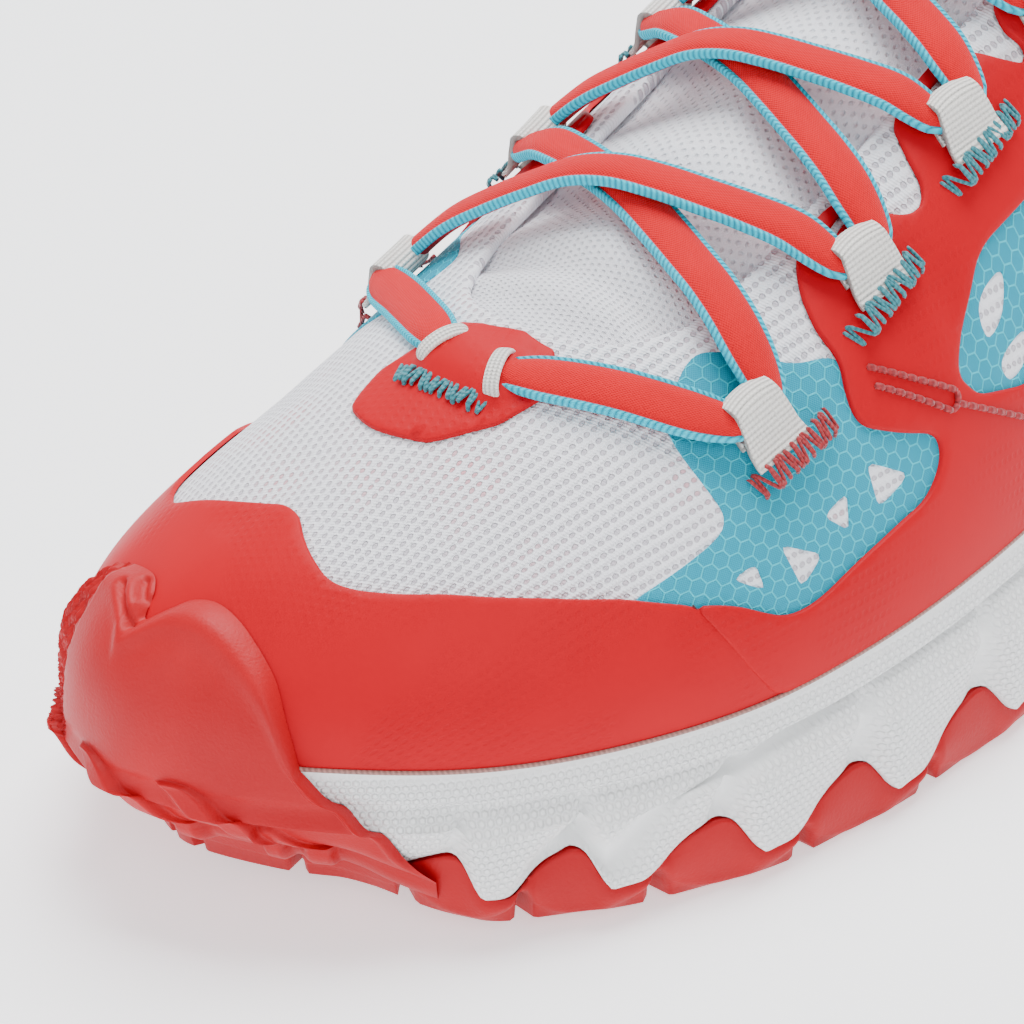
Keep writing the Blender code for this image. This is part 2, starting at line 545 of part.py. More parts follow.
def tongue_lines():
    """Cross lines of the tongue's face, five points each, from its seam to its free end."""
    side_u, side_v, edge_u, edge_v = (column(TONGUE, TONGUE_COLUMNS, key) for key in TONGUE_COLUMNS[1:5])
    under = -(UPPER_WALL + 2 * GAP)
    offset = np.full(side_u.shape, under)
    middle = np.zeros(side_u.shape + (3,))
    middle[:, 0] = (column(TONGUE, TONGUE_COLUMNS, "mid_x") - MIDDLE_SHARE) * SHOE_LENGTH
    middle[:, 2] = column(TONGUE, TONGUE_COLUMNS, "mid_z") * INSTEP_HEIGHT
    lateral = [on_upper(side_u, side_v, offset), on_upper(edge_u, edge_v, offset)]
    medial = [on_upper(ROUND - edge_u, edge_v, offset), on_upper(ROUND - side_u, side_v, offset)]
    lines = np.stack(lateral + [middle] + medial, axis=1)
    x, z, half, crown = (column(TONGUE_TOP, TONGUE_TOP_COLUMNS, key) for key in TONGUE_TOP_COLUMNS[1:])
    across = np.array([1.0, 0.62, 0.0, -0.62, -1.0])
    swept = TONGUE_SWEEP * across ** 2 * half[:, None]
    top_x = (x[:, None] - MIDDLE_SHARE - swept) * SHOE_LENGTH
    top_y = half[:, None] * BALL_WIDTH * across
    top_z = (z[:, None] - crown[:, None] * across ** 2) * INSTEP_HEIGHT
    return np.concatenate([lines, np.stack([top_x, top_y, top_z], -1)])


TONGUE_ROWS = 14
TONGUE_FACETS_ACROSS = 7


def tongue_face():
    lines = tongue_lines()
    across = smooth_through(lines.transpose(1, 0, 2), TONGUE_FACETS_ACROSS)
    return smooth_through(across.transpose(1, 0, 2), TONGUE_ROWS)


def face_normals(grid):
    along = np.gradient(grid, axis=0)
    across = np.gradient(grid, axis=1)
    return unit(np.cross(along, across))


def build_tongue():
    face = tongue_face()
    inward = face_normals(face)
    if inward[TONGUE_ROWS // 2, TONGUE_FACETS_ACROSS // 2, 2] > 0:
        inward = -inward
    plump = np.interp(np.linspace(0, 1, TONGUE_ROWS), [0, 0.25, 0.45, 0.9, 1], [0, 0.3, 1, 1, 0.5])[:, None]
    side = np.interp(np.abs(np.linspace(-1, 1, TONGUE_FACETS_ACROSS)), [0, 0.6, 1], [1, 0.8, 0])[None, :]
    thick = TONGUE_SEAM_THICKNESS + (TONGUE_THICKNESS - TONGUE_SEAM_THICKNESS) * plump * side
    back = face + inward * thick[..., None]
    spacer = material("spacer mesh", (0.84, 0.84, 0.88), 0.85)
    return grid_object("tongue", shell(face, back), spacer, True, False, True)


def loop_frame(row, mirrored):
    """Foot of a loop's mouth, its direction towards the throat, the way across it and the way out."""
    tack_u, tack_v, mouth_u, mouth_v = row
    if mirrored:
        tack_u, mouth_u = ROUND - tack_u, ROUND - mouth_u
    tack = upper(tack_u, tack_v)
    mouth = upper(mouth_u, mouth_v)
    out = upper_outward(mouth_u, mouth_v)
    along = unit(mouth - tack)
    along = unit(along - out * (along @ out))
    return tack, mouth, along, np.cross(out, along), out


def build_loop(name, row, finish, mirrored):
    """A folded webbing loop: up along the surface, round the lace's seat and back down on itself."""
    tack, mouth, along, across, out = loop_frame(row, mirrored)
    length = np.linalg.norm(mouth - tack)
    base = GAP + OVERLAY_WALL + GAP
    turn = LOOP_HEIGHT * 0.5
    low = base + WEBBING_WALL * 0.5
    path = [(-length * 0.9, low), (-0.002, low), (turn * 0.55, low + turn * 0.35), (turn * 0.9, low + turn),
            (turn * 0.45, low + turn * 1.75), (-0.001, low + 2 * turn), (-length * 0.5, low + turn * 1.1),
            (-length * 0.9, low + WEBBING_WALL + GAP)]
    path = np.array(path)
    step = np.gradient(path, axis=0)
    side = unit(np.stack([-step[:, 1], step[:, 0]], -1)) * WEBBING_WALL * 0.5
    outline = np.concatenate([path + side, (path - side)[::-1]])
    flat = mouth + outline[:, :1] * along + outline[:, 1:] * out
    half = across * WEBBING_WIDTH * 0.5
    return grid_object(name, np.stack([flat - half, flat + half], 1), finish, True, False)


def lace_seat(number, mirrored, toeward):
    """Where the lace leaves a loop, at its side towards the toe or the heel, and the way out of the surface there."""
    _, mouth, _, across, out = loop_frame(LOOPS[number], mirrored)
    forward = across if across[0] > 0 else -across
    beside = (WEBBING_WIDTH + LACE_WIDTH) * 0.5 + GAP
    lift = 2 * GAP + OVERLAY_WALL + WEBBING_WALL + LOOP_HEIGHT * 0.5
    return mouth + forward * (beside if toeward else -beside) + out * lift, out


def tongue_ground():
    """Points spread finely over the tongue's face and the upper near the throat, which the laces pass over."""
    lines = tongue_lines()
    across = smooth_through(lines.transpose(1, 0, 2), 41)
    face = smooth_through(across.transpose(1, 0, 2), 121)
    u, v = np.meshgrid(np.linspace(5, ROUND - 5, 221), np.linspace(0.6, 1, 25))
    beside = on_upper(u, v, np.full(u.shape, 2 * GAP + OVERLAY_WALL))
    return np.concatenate([face.reshape(-1, 3), beside.reshape(-1, 3)])


def ground_height(ground, point):
    """Highest point under a lace as wide as it is."""
    away = np.hypot(ground[:, 0] - point[0], ground[:, 1] - point[1])
    return ground[away < LACE_WIDTH * 0.6, 2].max()


LACE_SECTION = ((1.0, 0.0), (0.7, 0.5), (-0.7, 0.5), (-1.0, 0.0), (-0.7, -0.5), (0.7, -0.5))


def lace_bar(name, start, end, start_out, end_out, hump, ground, finish):
    """A flat lace from one seat to another, arched over the tongue."""
    share = np.linspace(0, 1, LACE_POINTS)[:, None]
    points = start * (1 - share) + end * share
    floor = np.array([ground_height(ground, point) for point in points])
    clear = floor + LACE_THICKNESS * 0.5 + LACE_CLEARANCE + hump
    points[1:-1, 2] = np.maximum(points[1:-1, 2], clear[1:-1])
    points[1:-1, 2] = np.convolve(points[:, 2], (0.25, 0.5, 0.25), "valid")
    points[1:-1, 2] = np.maximum(points[1:-1, 2], clear[1:-1])
    along = unit(np.gradient(points, axis=0))
    out = unit(start_out * (1 - share) + end_out * share + np.array([0, 0, 2.0]) * np.sin(np.pi * share))
    across = unit(np.cross(along, out))
    out = unit(np.cross(across, along))
    section = np.array(LACE_SECTION)
    ring = (points[:, None] + across[:, None] * section[None, :, :1] * LACE_WIDTH * 0.5
            + out[:, None] * section[None, :, 1:] * LACE_THICKNESS)
    return grid_object(name, ring.transpose(1, 0, 2), finish, True, False)


def build_laces():
    red = material("lace cord", (0.80, 0.08, 0.08), 0.8)
    ground = tongue_ground()
    for number in range(len(LOOPS) - 1):
        far, far_out = lace_seat(number, True, False)
        near, near_out = lace_seat(number + 1, False, True)
        name = f"lace_crossing_{number + 1}"
        over = lace_bar(name, far, near, far_out, near_out, LACE_THICKNESS * 0.6, ground, red)
        near, near_out = lace_seat(number, False, False)
        far, far_out = lace_seat(number + 1, True, True)
        under = lace_bar(f"{name}_under", near, far, near_out, far_out, 0.0, ground, red)
        combine(over, under, "UNION")
    patch_lift = 3 * GAP + 2 * OVERLAY_WALL + LACE_THICKNESS * 0.5
    for name, mirrored, u in (("lateral", False, 13.25), ("medial", True, 17.75)):
        seat, seat_out = lace_seat(0, mirrored, True)
        mouth = on_upper(u, 0.90, patch_lift)
        outward = upper_outward(u, 0.90)
        away = unit((seat - mouth) * np.array([1.0, 1.0, 0.0]))
        lace_bar(f"lace_toe_{name}", mouth + away * 0.002, seat, outward, seat_out, 0.0, ground, red)


def main():
    for old in list(bpy.data.objects):
        bpy.data.objects.remove(old, do_unlink=True)
    for made in (PIECES, CUTTERS):
        bpy.context.scene.collection.children.link(made)
    CUTTERS.hide_render = True
    build_outsole()
    build_midsole()
    build_insole()
    build_upper()
    build_tongue()
    red_film = material("overlay film", (0.75, 0.05, 0.06), 0.5)
    cyan = material("ripstop", (0.01, 0.45, 0.60), 0.6)
    webbing = material("webbing", (0.85, 0.84, 0.80), 0.8)
    build_panel("mudguard", MUDGUARD, 4, red_film)
    panel_form("toe_patch", TOE_PATCH, 4, GAP, GAP + OVERLAY_WALL, red_film)
    for side, mirrored in (("lateral", False), ("medial", True)):
        build_panel(f"quarter_{side}", QUARTER, 4, red_film, mirrored=mirrored)
        build_panel(f"ripstop_{side}", RIPSTOP, 4, cyan, mirrored=mirrored)
        for number, row in enumerate(LOOPS, 1):
            build_loop(f"webbing_loop_{side}_{number}", row, webbing, mirrored)
    build_laces()


main()
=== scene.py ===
import bpy
import numpy as np
from mathutils import Matrix
from mathutils.geometry import delaunay_2d_cdt


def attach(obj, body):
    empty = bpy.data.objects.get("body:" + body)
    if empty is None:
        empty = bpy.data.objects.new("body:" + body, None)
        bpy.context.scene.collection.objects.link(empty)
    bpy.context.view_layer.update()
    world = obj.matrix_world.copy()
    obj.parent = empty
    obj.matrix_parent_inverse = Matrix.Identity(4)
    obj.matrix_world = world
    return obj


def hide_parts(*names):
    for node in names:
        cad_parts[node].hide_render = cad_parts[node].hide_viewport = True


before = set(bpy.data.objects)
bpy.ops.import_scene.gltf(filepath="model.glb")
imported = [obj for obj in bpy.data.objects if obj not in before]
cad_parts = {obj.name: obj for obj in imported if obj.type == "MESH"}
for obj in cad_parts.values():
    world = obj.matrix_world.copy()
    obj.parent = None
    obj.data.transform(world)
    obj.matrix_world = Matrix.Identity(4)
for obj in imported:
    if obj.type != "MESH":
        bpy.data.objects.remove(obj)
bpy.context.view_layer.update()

# The shoe's own sizes: shares are of its length, the rest are metres.
shoe = {"length": 0.280, "ballWidth": 0.099, "instepHeight": 0.100, "middleShare": 0.4982,
        "footInset": 0.0050, "toeSpring": 0.0078, "toeSpringStart": 0.74, "heelSpring": 0.0040,
        "heelSpringEnd": 0.12, "gap": 0.0003}
fullTurn, halfTurn = 6.283, 3.1416
bothSides = (("lateral", False), ("medial", True))

# Sections round the shoe, as in the part: x is a share of the length; y, reach and lean are shares of the
# ball width; z is a share of the instep height; rise and drop are shares of the wall's height.
sectionColumns = ("soleX", "soleLat", "soleMed", "rimZ", "edgeX", "edgeLat", "edgeMed", "edgeZ", "lean",
                  "rise", "reach", "drop")
sections = np.array((
    (0.000, -0.005, -0.005, 0.365, 0.025, -0.005, -0.005, 0.960, 0.035, 0.33, 0.010, 0.37),
    (0.014, 0.175, -0.175, 0.365, 0.036, 0.115, -0.120, 0.940, 0.032, 0.33, 0.012, 0.34),
    (0.055, 0.303, -0.298, 0.362, 0.072, 0.208, -0.212, 0.880, 0.026, 0.32, 0.020, 0.30),
    (0.130, 0.358, -0.348, 0.356, 0.136, 0.262, -0.262, 0.790, 0.020, 0.32, 0.030, 0.30),
    (0.220, 0.369, -0.348, 0.345, 0.214, 0.286, -0.283, 0.745, 0.010, 0.33, 0.036, 0.30),
    (0.320, 0.374, -0.335, 0.328, 0.296, 0.268, -0.265, 0.815, 0.002, 0.35, 0.058, 0.26),
    (0.410, 0.399, -0.343, 0.308, 0.362, 0.205, -0.205, 0.970, 0.000, 0.34, 0.105, 0.20),
    (0.490, 0.440, -0.379, 0.289, 0.420, 0.172, -0.170, 0.975, 0.000, 0.33, 0.135, 0.14),
    (0.565, 0.478, -0.434, 0.272, 0.492, 0.180, -0.176, 0.890, 0.004, 0.33, 0.142, 0.12),
    (0.640, 0.499, -0.481, 0.258, 0.569, 0.190, -0.186, 0.798, 0.008, 0.33, 0.142, 0.12),
    (0.710, 0.497, -0.500, 0.246, 0.646, 0.196, -0.192, 0.705, 0.010, 0.34, 0.140, 0.13),
    (0.780, 0.467, -0.495, 0.234, 0.712, 0.194, -0.190, 0.638, 0.012, 0.36, 0.135, 0.15),
    (0.845, 0.401, -0.478, 0.223, 0.748, 0.150, -0.150, 0.622, 0.012, 0.38, 0.160, 0.19),
    (0.900, 0.313, -0.443, 0.213, 0.764, 0.095, -0.100, 0.627, 0.010, 0.40, 0.220, 0.26),
    (0.945, 0.197, -0.386, 0.206, 0.770, 0.045, -0.060, 0.632, 0.008, 0.42, 0.280, 0.32),
    (0.980, 0.061, -0.293, 0.200, 0.772, 0.012, -0.032, 0.634, 0.008, 0.44, 0.310, 0.36),
    (1.000, -0.121, -0.121, 0.196, 0.773, -0.010, -0.010, 0.635, 0.008, 0.45, 0.320, 0.38),
))
halfRound = len(sections) - 1
fullRound = 2 * halfRound

# Soft troughs and ridges in the upper: from u, v to u, v, then width and depth in metres (a ridge is
# negative).
creases = (
    (9.10, 0.60, 8.75, 0.36, 0.0030, 0.0005), (10.05, 0.60, 9.75, 0.44, 0.0028, 0.0005),
    (16.20, 0.50, 16.35, 0.72, 0.0045, 0.0006), (14.60, 0.52, 14.10, 0.80, 0.0060, 0.0005),
    (12.60, 0.22, 13.60, 0.40, 0.0050, 0.0004), (15.30, 0.40, 14.90, 0.58, 0.0040, -0.0004),
    (7.40, 0.70, 7.00, 0.40, 0.0045, 0.0006), (6.20, 0.80, 5.60, 0.45, 0.0060, 0.0007),
    (3.60, 0.66, 4.60, 0.58, 0.0050, 0.0006), (1.60, 0.62, 2.60, 0.50, 0.0060, 0.0006),
    (22.60, 0.60, 23.20, 0.36, 0.0045, 0.0006), (25.50, 0.78, 26.30, 0.45, 0.0060, 0.0007),
    (28.40, 0.66, 27.40, 0.58, 0.0050, 0.0006), (19.60, 0.50, 19.10, 0.75, 0.0055, 0.0005),
)


def ringOf(lateral, medial):
    # sections up the lateral side, then back down the medial side
    first = sections[:, sectionColumns.index(lateral)]
    second = sections[:, sectionColumns.index(medial)]
    return np.concatenate([first, second[-2:0:-1]])


rings = {name: ringOf(name, name) for name in sectionColumns if not name.endswith(("Lat", "Med"))}
rings["soleY"] = ringOf("soleLat", "soleMed")
rings["edgeY"] = ringOf("edgeLat", "edgeMed")


def cubic(a, b, c, d, t):
    # b + t/2 (c - a + t (2a - 5b + 4c - d + t (3(b - c) + d - a)))
    return b + 0.5 * t * (c - a + t * (2 * a - 5 * b + 4 * c - d + t * (3 * (b - c) + d - a)))


def around(name, u):
    # the cubic curve through the sections, closed round the shoe
    u = np.asarray(u, float)
    first = np.floor(u).astype(int)
    t = u - first
    return cubic(*(rings[name][(first + step) % fullRound] for step in (-1, 0, 1, 2)), t)


def unit(vectors):
    return vectors / np.maximum(np.linalg.norm(vectors, axis=-1, keepdims=True), 1e-12)


def smooth(low, high, value):
    # 0 below low, 1 above high, 3t^2 - 2t^3 between
    t = np.clip((value - low) / (high - low), 0, 1)
    return t * t * (3 - 2 * t)


def atHeight(flat, z):
    return np.concatenate([flat, np.broadcast_to(z, flat.shape[:-1])[..., None]], -1)


def soleEdge(u):
    x = (around("soleX", u) - shoe["middleShare"]) * shoe["length"]
    return np.stack([x, around("soleY", u) * shoe["ballWidth"]], -1)


def soleOutward(u):
    along = unit(soleEdge(u + 0.01) - soleEdge(u - 0.01))
    return np.stack([-along[..., 1], along[..., 0]], -1)


def insetEdge(u, inset):
    return soleEdge(u) - soleOutward(u) * np.asarray(inset)[..., None]


def spring(x):
    # the sole's lift: toe spring * share^1.8 past its start, heel spring * share^2 behind its end
    share = x / shoe["length"] + shoe["middleShare"]
    toe = np.clip((share - shoe["toeSpringStart"]) / (1 - shoe["toeSpringStart"]), 0, None) ** 1.8
    heel = np.clip((shoe["heelSpringEnd"] - share) / shoe["heelSpringEnd"], 0, None) ** 2
    return shoe["toeSpring"] * toe + shoe["heelSpring"] * heel


def rimHeight(u):
    return around("rimZ", u) * shoe["instepHeight"] + spring(soleEdge(u)[..., 0])


def toeShare(u):
    # 1 in the middle of the toe, fading to 0 where the bumper ends
    return smooth(0, 1.4, 3.0 - np.abs(np.asarray(u, float) - halfRound))


def bareWall(u, v):
    # Bezier from the feather line to the edge: its first handle leans out and rises, its last reaches out
    # and drops
    u, v = np.broadcast_arrays(np.asarray(u, float), np.asarray(v, float))
    start = atHeight(insetEdge(u, np.full(u.shape, shoe["footInset"])), rimHeight(u))
    endX = (around("edgeX", u) - shoe["middleShare"]) * shoe["length"]
    endY, endZ = around("edgeY", u) * shoe["ballWidth"], around("edgeZ", u) * shoe["instepHeight"]
    end = np.stack([endX, endY, endZ], -1)
    height = (end - start)[..., 2]
    flat = np.zeros(u.shape + (2,))
    away = unit((start - end) * np.array([1.0, 1.0, 0.0]))
    lean = atHeight(soleOutward(u), 0.0) * (around("lean", u) * shoe["ballWidth"])[..., None]
    rise = atHeight(flat, around("rise", u) * height)
    reach = away * (around("reach", u) * shoe["ballWidth"])[..., None]
    drop = atHeight(flat, around("drop", u) * height)
    w = v[..., None]
    low = start * (1 - w) ** 3 + 3 * (start + lean + rise) * w * (1 - w) ** 2
    return low + 3 * (end + reach - drop) * w ** 2 * (1 - w) + end * w ** 3


def wallOutward(u, v):
    u, v = np.broadcast_arrays(np.asarray(u, float), np.asarray(v, float))
    along = bareWall(u + 0.02, v) - bareWall(u - 0.02, v)
    up = bareWall(u, np.minimum(v + 0.01, 1)) - bareWall(u, np.maximum(v - 0.01, 0))
    return unit(np.cross(up, along))


def creaseDepth(points):
    # sum of depth * exp(-(distance to the crease / width)^2), faded to nothing at the crease's ends
    total = np.zeros(points.shape[:-1])
    for startU, startV, endU, endV, width, depth in creases:
        start = bareWall(startU, startV)
        along = bareWall(endU, endV) - start
        share = np.clip(((points - start) @ along) / (along @ along), 0, 1)
        away = np.linalg.norm(points - start - share[..., None] * along, axis=-1)
        total += depth * np.exp(-(away / width) ** 2) * (0.25 + 0.75 * np.sin(np.pi * share) ** 0.5)
    return total


# The lace's way under the toe patch: its two mouths in u, v, how far the patch rises and how widely.
tunnel = {"start": (16.12, 0.925), "end": (14.32, 0.910), "rise": 0.0017, "width": 0.0042}


def tunnelHeight(points):
    # the toe patch rises over the lace that passes under it
    start, end = bareWall(*tunnel["start"]), bareWall(*tunnel["end"])
    along = end - start
    share = ((points - start) @ along) / (along @ along)
    near = points - start - np.clip(share, 0, 1)[..., None] * along
    return tunnel["rise"] * np.exp(-(np.linalg.norm(near, axis=-1) / tunnel["width"]) ** 4)


def onWall(u, v, offset):
    points = bareWall(u, v)
    return points + wallOutward(u, v) * (np.asarray(offset) - creaseDepth(points))[..., None]


def smoothThrough(points, rows):
    # the same cubic curve through a list of points, read at even places
    points = np.asarray(points, float)
    place = np.linspace(0, len(points) - 1, rows)
    first = np.minimum(np.floor(place).astype(int), len(points) - 2)
    t = (place - first).reshape((-1,) + (1,) * (points.ndim - 1))
    last = len(points) - 1
    return cubic(*(points[np.clip(first + step, 0, last)] for step in (-1, 0, 1, 2)), t)


def lengthAlong(points):
    # running sum of the distances between the points
    return np.concatenate([[0], np.cumsum(np.linalg.norm(np.diff(points, axis=0), axis=1))])


def evenPath(points, step):
    # a path read again at even distances; columns past the third go with it
    length = lengthAlong(points[:, :3])
    count = max(2, int(round(length[-1] / step)) + 1)
    place = np.linspace(0, length[-1], count)
    return np.stack([np.interp(place, length, column) for column in points.T], -1), place


def clothPlace(points):
    # flat place of a point of the upper: x, and the way round an axis along the shoe
    axisHeight, radius = 0.012, 0.046
    angle = np.arctan2(points[..., 1], points[..., 2] - axisHeight)
    return np.stack([points[..., 0], angle * radius, np.zeros(points.shape[:-1])], -1)


def heelGirth():
    # round the heel the cloth is measured along the rim, on from x at the fifth section
    u = np.linspace(0, 6, 241)
    rim = soleEdge(u)
    girth = lengthAlong(rim)
    return u, rim[200, 0] + girth - girth[200]


def gridFaces(rows, columns, closedRows=False, closedColumns=False):
    r = np.arange(rows if closedRows else rows - 1)[:, None]
    c = np.arange(columns if closedColumns else columns - 1)[None, :]
    corners = [((r + i) % rows) * columns + (c + j) % columns for i, j in ((0, 0), (1, 0), (1, 1), (0, 1))]
    return np.stack(corners, -1).reshape(-1, 4)


def meshObject(name, points, faces, look, maps=None, outward=None, replaced=()):
    # one object from whole arrays; its faces are turned away from its middle, or along the given outward
    points = np.asarray(points, float).reshape(-1, 3)
    faces = np.asarray(faces)
    corner = points[faces[:, :3]]
    normal = np.cross(corner[:, 1] - corner[:, 0], corner[:, 2] - corner[:, 0])
    if faces.shape[1] == 4:
        normal = np.cross(corner[:, 2] - corner[:, 0], points[faces[:, 3]] - corner[:, 1])
    if outward is None:
        compare = corner.mean(1) - points.mean(0)
    else:
        compare = np.asarray(outward).reshape(-1, 3)[faces[:, 0]]
    if (normal * compare).sum() < 0:
        faces = faces[:, ::-1]
    mesh = bpy.data.meshes.new(name)
    mesh.vertices.add(len(points))
    mesh.vertices.foreach_set("co", points.astype(np.float32).ravel())
    mesh.loops.add(faces.size)
    mesh.loops.foreach_set("vertex_index", faces.astype(np.int32).ravel())
    mesh.polygons.add(len(faces))
    mesh.polygons.foreach_set("loop_start", np.arange(0, faces.size, faces.shape[1], dtype=np.int32))
    mesh.update(calc_edges=True)
    for key, values in (maps or {}).items():
        attribute = mesh.attributes.new(key, "FLOAT_VECTOR", "POINT")
        attribute.data.foreach_set("vector", np.asarray(values, np.float32).ravel())
    mesh.shade_smooth()
    mesh.materials.append(look)
    made = bpy.data.objects.new(name, mesh)
    bpy.context.scene.collection.objects.link(made)
    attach(made, "root")
    if replaced:
        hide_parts(*replaced)


class Signal:
    # one socket of a material's tree: operators add Math nodes, make adds any other node

    def __init__(self, tree, socket):
        self.tree = tree
        self.socket = socket

    def make(self, kind, settings, values, output=0):
        node = self.tree.nodes.new(kind)
        for key, value in settings.items():
            setattr(node, key, value)
        for key, value in values.items():
            if isinstance(value, Signal):
                self.tree.links.new(value.socket, node.inputs[key])
            else:
                node.inputs[key].default_value = value
        return Signal(self.tree, node.outputs[output])

    def math(self, operation, first, second=0.0, third=0.0):
        return self.make("ShaderNodeMath", {"operation": operation}, {0: first, 1: second, 2: third})

    def __add__(self, other):
        return self.math("ADD", self, other)

    def __radd__(self, other):
        return self.math("ADD", other, self)

    def __sub__(self, other):
        return self.math("SUBTRACT", self, other)

    def __rsub__(self, other):
        return self.math("SUBTRACT", other, self)

    def __mul__(self, other):
        return self.math("MULTIPLY", self, other)

    def __truediv__(self, other):
        return self.math("DIVIDE", self, other)

    def __pow__(self, other):
        return self.math("POWER", self, other)

    def __abs__(self):
        return self.math("ABSOLUTE", self)


def newLook(name):
    look = bpy.data.materials.new(name)
    look.use_nodes = True
    shader = look.node_tree.nodes["Principled BSDF"]
    return look, shader, Signal(look.node_tree, shader.outputs[0])


def setShader(shader, **values):
    names = {"color": "Base Color", "roughness": "Roughness", "normal": "Normal",
             "sheen": "Sheen Weight", "sheenRoughness": "Sheen Roughness", "specular": "Specular IOR Level",
             "subsurface": "Subsurface Weight", "subsurfaceRadius": "Subsurface Radius",
             "subsurfaceScale": "Subsurface Scale"}
    for key, value in values.items():
        socket = shader.inputs[names[key]]
        if isinstance(value, Signal):
            value.tree.links.new(value.socket, socket)
        elif key == "color":
            socket.default_value = (*value, 1)
        else:
            socket.default_value = value


def placeOf(start, name):
    vector = start.make("ShaderNodeAttribute", {"attribute_name": name}, {}, 1)
    return [start.make("ShaderNodeSeparateXYZ", {}, {0: vector}, k) for k in range(3)]


def joined(start, x, y, z=0.0):
    return start.make("ShaderNodeCombineXYZ", {}, {0: x, 1: y, 2: z})


def blend(start, factor, first, second):
    values = {0: factor}
    for key, value in ((6, first), (7, second)):
        values[key] = value if isinstance(value, Signal) else (*value, 1)
    return start.make("ShaderNodeMix", {"data_type": "RGBA"}, values, 2)


def ramp(start, value, low, high):
    # 0 below low, 1 above high, smooth between
    return start.make("ShaderNodeMapRange", {"interpolation_type": "SMOOTHSTEP"},
                      {0: value, 1: low, 2: high})


def noise(start, vector, scale, detail=2.0):
    return start.make("ShaderNodeTexNoise", {}, {"Vector": vector, "Scale": scale, "Detail": detail})


def objectPlace(start):
    return start.make("ShaderNodeTexCoord", {}, {}, 3)


def bump(start, height, distance, strength):
    return start.make("ShaderNodeBump", {}, {"Height": height, "Distance": distance, "Strength": strength})


def fract(value):
    return value.math("FRACT", value)


def hexEdge(x, y):
    # distance to the nearest edge of a honeycomb with cells 1 wide: 0.5 - max(|qx|, |qx| / 2 +
    # 0.866 |qy|)
    tall = 3 ** 0.5
    firstX, firstY = fract(x) - 0.5, (fract(y / tall) - 0.5) * tall
    secondX, secondY = fract(x + 0.5) - 0.5, (fract(y / tall + 0.5) - 0.5) * tall
    firstAway = firstX * firstX + firstY * firstY
    secondAway = secondX * secondX + secondY * secondY
    pick = x.math("LESS_THAN", firstAway, secondAway)
    pickX = abs(firstX * pick + secondX * (1.0 - pick))
    pickY = abs(firstY * pick + secondY * (1.0 - pick))
    return 0.5 - x.math("MAXIMUM", pickX, pickX * 0.5 + pickY * (tall / 2))


# The knit upper: sizes of its wall and grid, pitch of its holes and yarn, colours.
upperLook = {"wall": 0.0018, "collarPadding": 0.0045, "columns": 620, "rows": 96, "linerRows": 22,
             "holePitch": 0.00115, "rowPitch": 0.00150, "yarn": 0.00045, "yarnRow": 0.0009,
             # hole: the grey of the painted shade inside the holes; tint: pinkish patches in some holes
             "white": (0.90, 0.90, 0.955), "hole": (0.50, 0.46, 0.52), "tint": (0.72, 0.20, 0.24)}


def knitLook():
    # white knit: lens-shaped holes in rows along the shoe, every other row shifted, over a soft yarn bump;
    # the holes are darkened with painted shade, some of them pinkish in patches
    look, shader, start = newLook("knit mesh")
    x, y, _ = placeOf(start, "cloth")
    wobble = noise(start, joined(start, x, y), 900.0, 1.0)
    row = y / upperLook["rowPitch"] + wobble * 0.25
    shift = row.math("FLOOR", row) * 0.5
    alongX = fract(x / upperLook["holePitch"] + shift + wobble * 0.3) - 0.5
    acrossY = fract(row) - 0.5
    lens = alongX * alongX * 7.0 + acrossY * acrossY * 22.0
    hole = 1.0 - ramp(start, lens, 0.45, 1.25)
    ridge = ramp(start, abs(acrossY), 0.18, 0.5)
    yarn = start.math("SINE", x * (fullTurn / upperLook["yarn"]) + y * (fullTurn / upperLook["yarnRow"]))
    patches = ramp(start, noise(start, joined(start, x, y), 55.0, 2.0), 0.50, 0.74)
    # painted shade: the holes take a darker grey, in patches pinkish
    pink = blend(start, patches * hole, upperLook["hole"], upperLook["tint"])
    color = blend(start, hole * 0.80, upperLook["white"], pink)
    height = ridge * 0.55 + yarn * 0.10 - hole * 0.9
    setShader(shader, color=color, roughness=0.85, sheen=0.25, sheenRoughness=0.4, specular=0.25,
              normal=bump(start, height, 0.00035, 0.9))
    return look


# The tongue: thickness, its seam's, its grid, how far its sides run under the upper, its mesh.
tongueLook = {"thickness": 0.0062, "seam": 0.0024, "rows": 210, "columns": 120, "under": 0.0019,
              "pitch": 0.00125, "clothLength": 0.155, "white": (0.86, 0.86, 0.91),
              # hole: the grey of the painted shade in the dimples
              "hole": (0.48, 0.48, 0.56)}


def spacerLook():
    # finer spacer mesh: round dimples on a honeycomb, darkened with painted shade, with a slow swell of the
    # padding
    look, shader, start = newLook("spacer mesh")
    x, y, _ = placeOf(start, "cloth")
    wobble = noise(start, joined(start, x, y), 1100.0, 1.0) - 0.5
    pitch = tongueLook["pitch"]
    edge = hexEdge(x / pitch + wobble * 0.35, y / pitch + wobble * 0.35)
    hole = ramp(start, edge, 0.22, 0.46)
    yarn = noise(start, joined(start, x, y * 3.0), 2600.0, 2.0)
    # painted shade: the dimples are darkened towards the hole grey
    color = blend(start, hole * 0.42, tongueLook["white"], tongueLook["hole"])
    height = yarn * 0.5 - hole * 0.8
    setShader(shader, color=color, roughness=0.9, sheen=0.3, sheenRoughness=0.4, specular=0.2,
              normal=bump(start, height, 0.00040, 0.9))
    return look


# The red film: its place over the knit, wall, rounded edge, grid spacing, outline steps and colours.
filmLook = {"lift": 0.00030, "wall": 0.00050, "edge": 0.00035, "spacing": 0.0011, "over": 0.00022,
            "red": (0.500, 0.000, 0.009), "shade": (0.36, 0.000, 0.006), "roughness": 0.50}


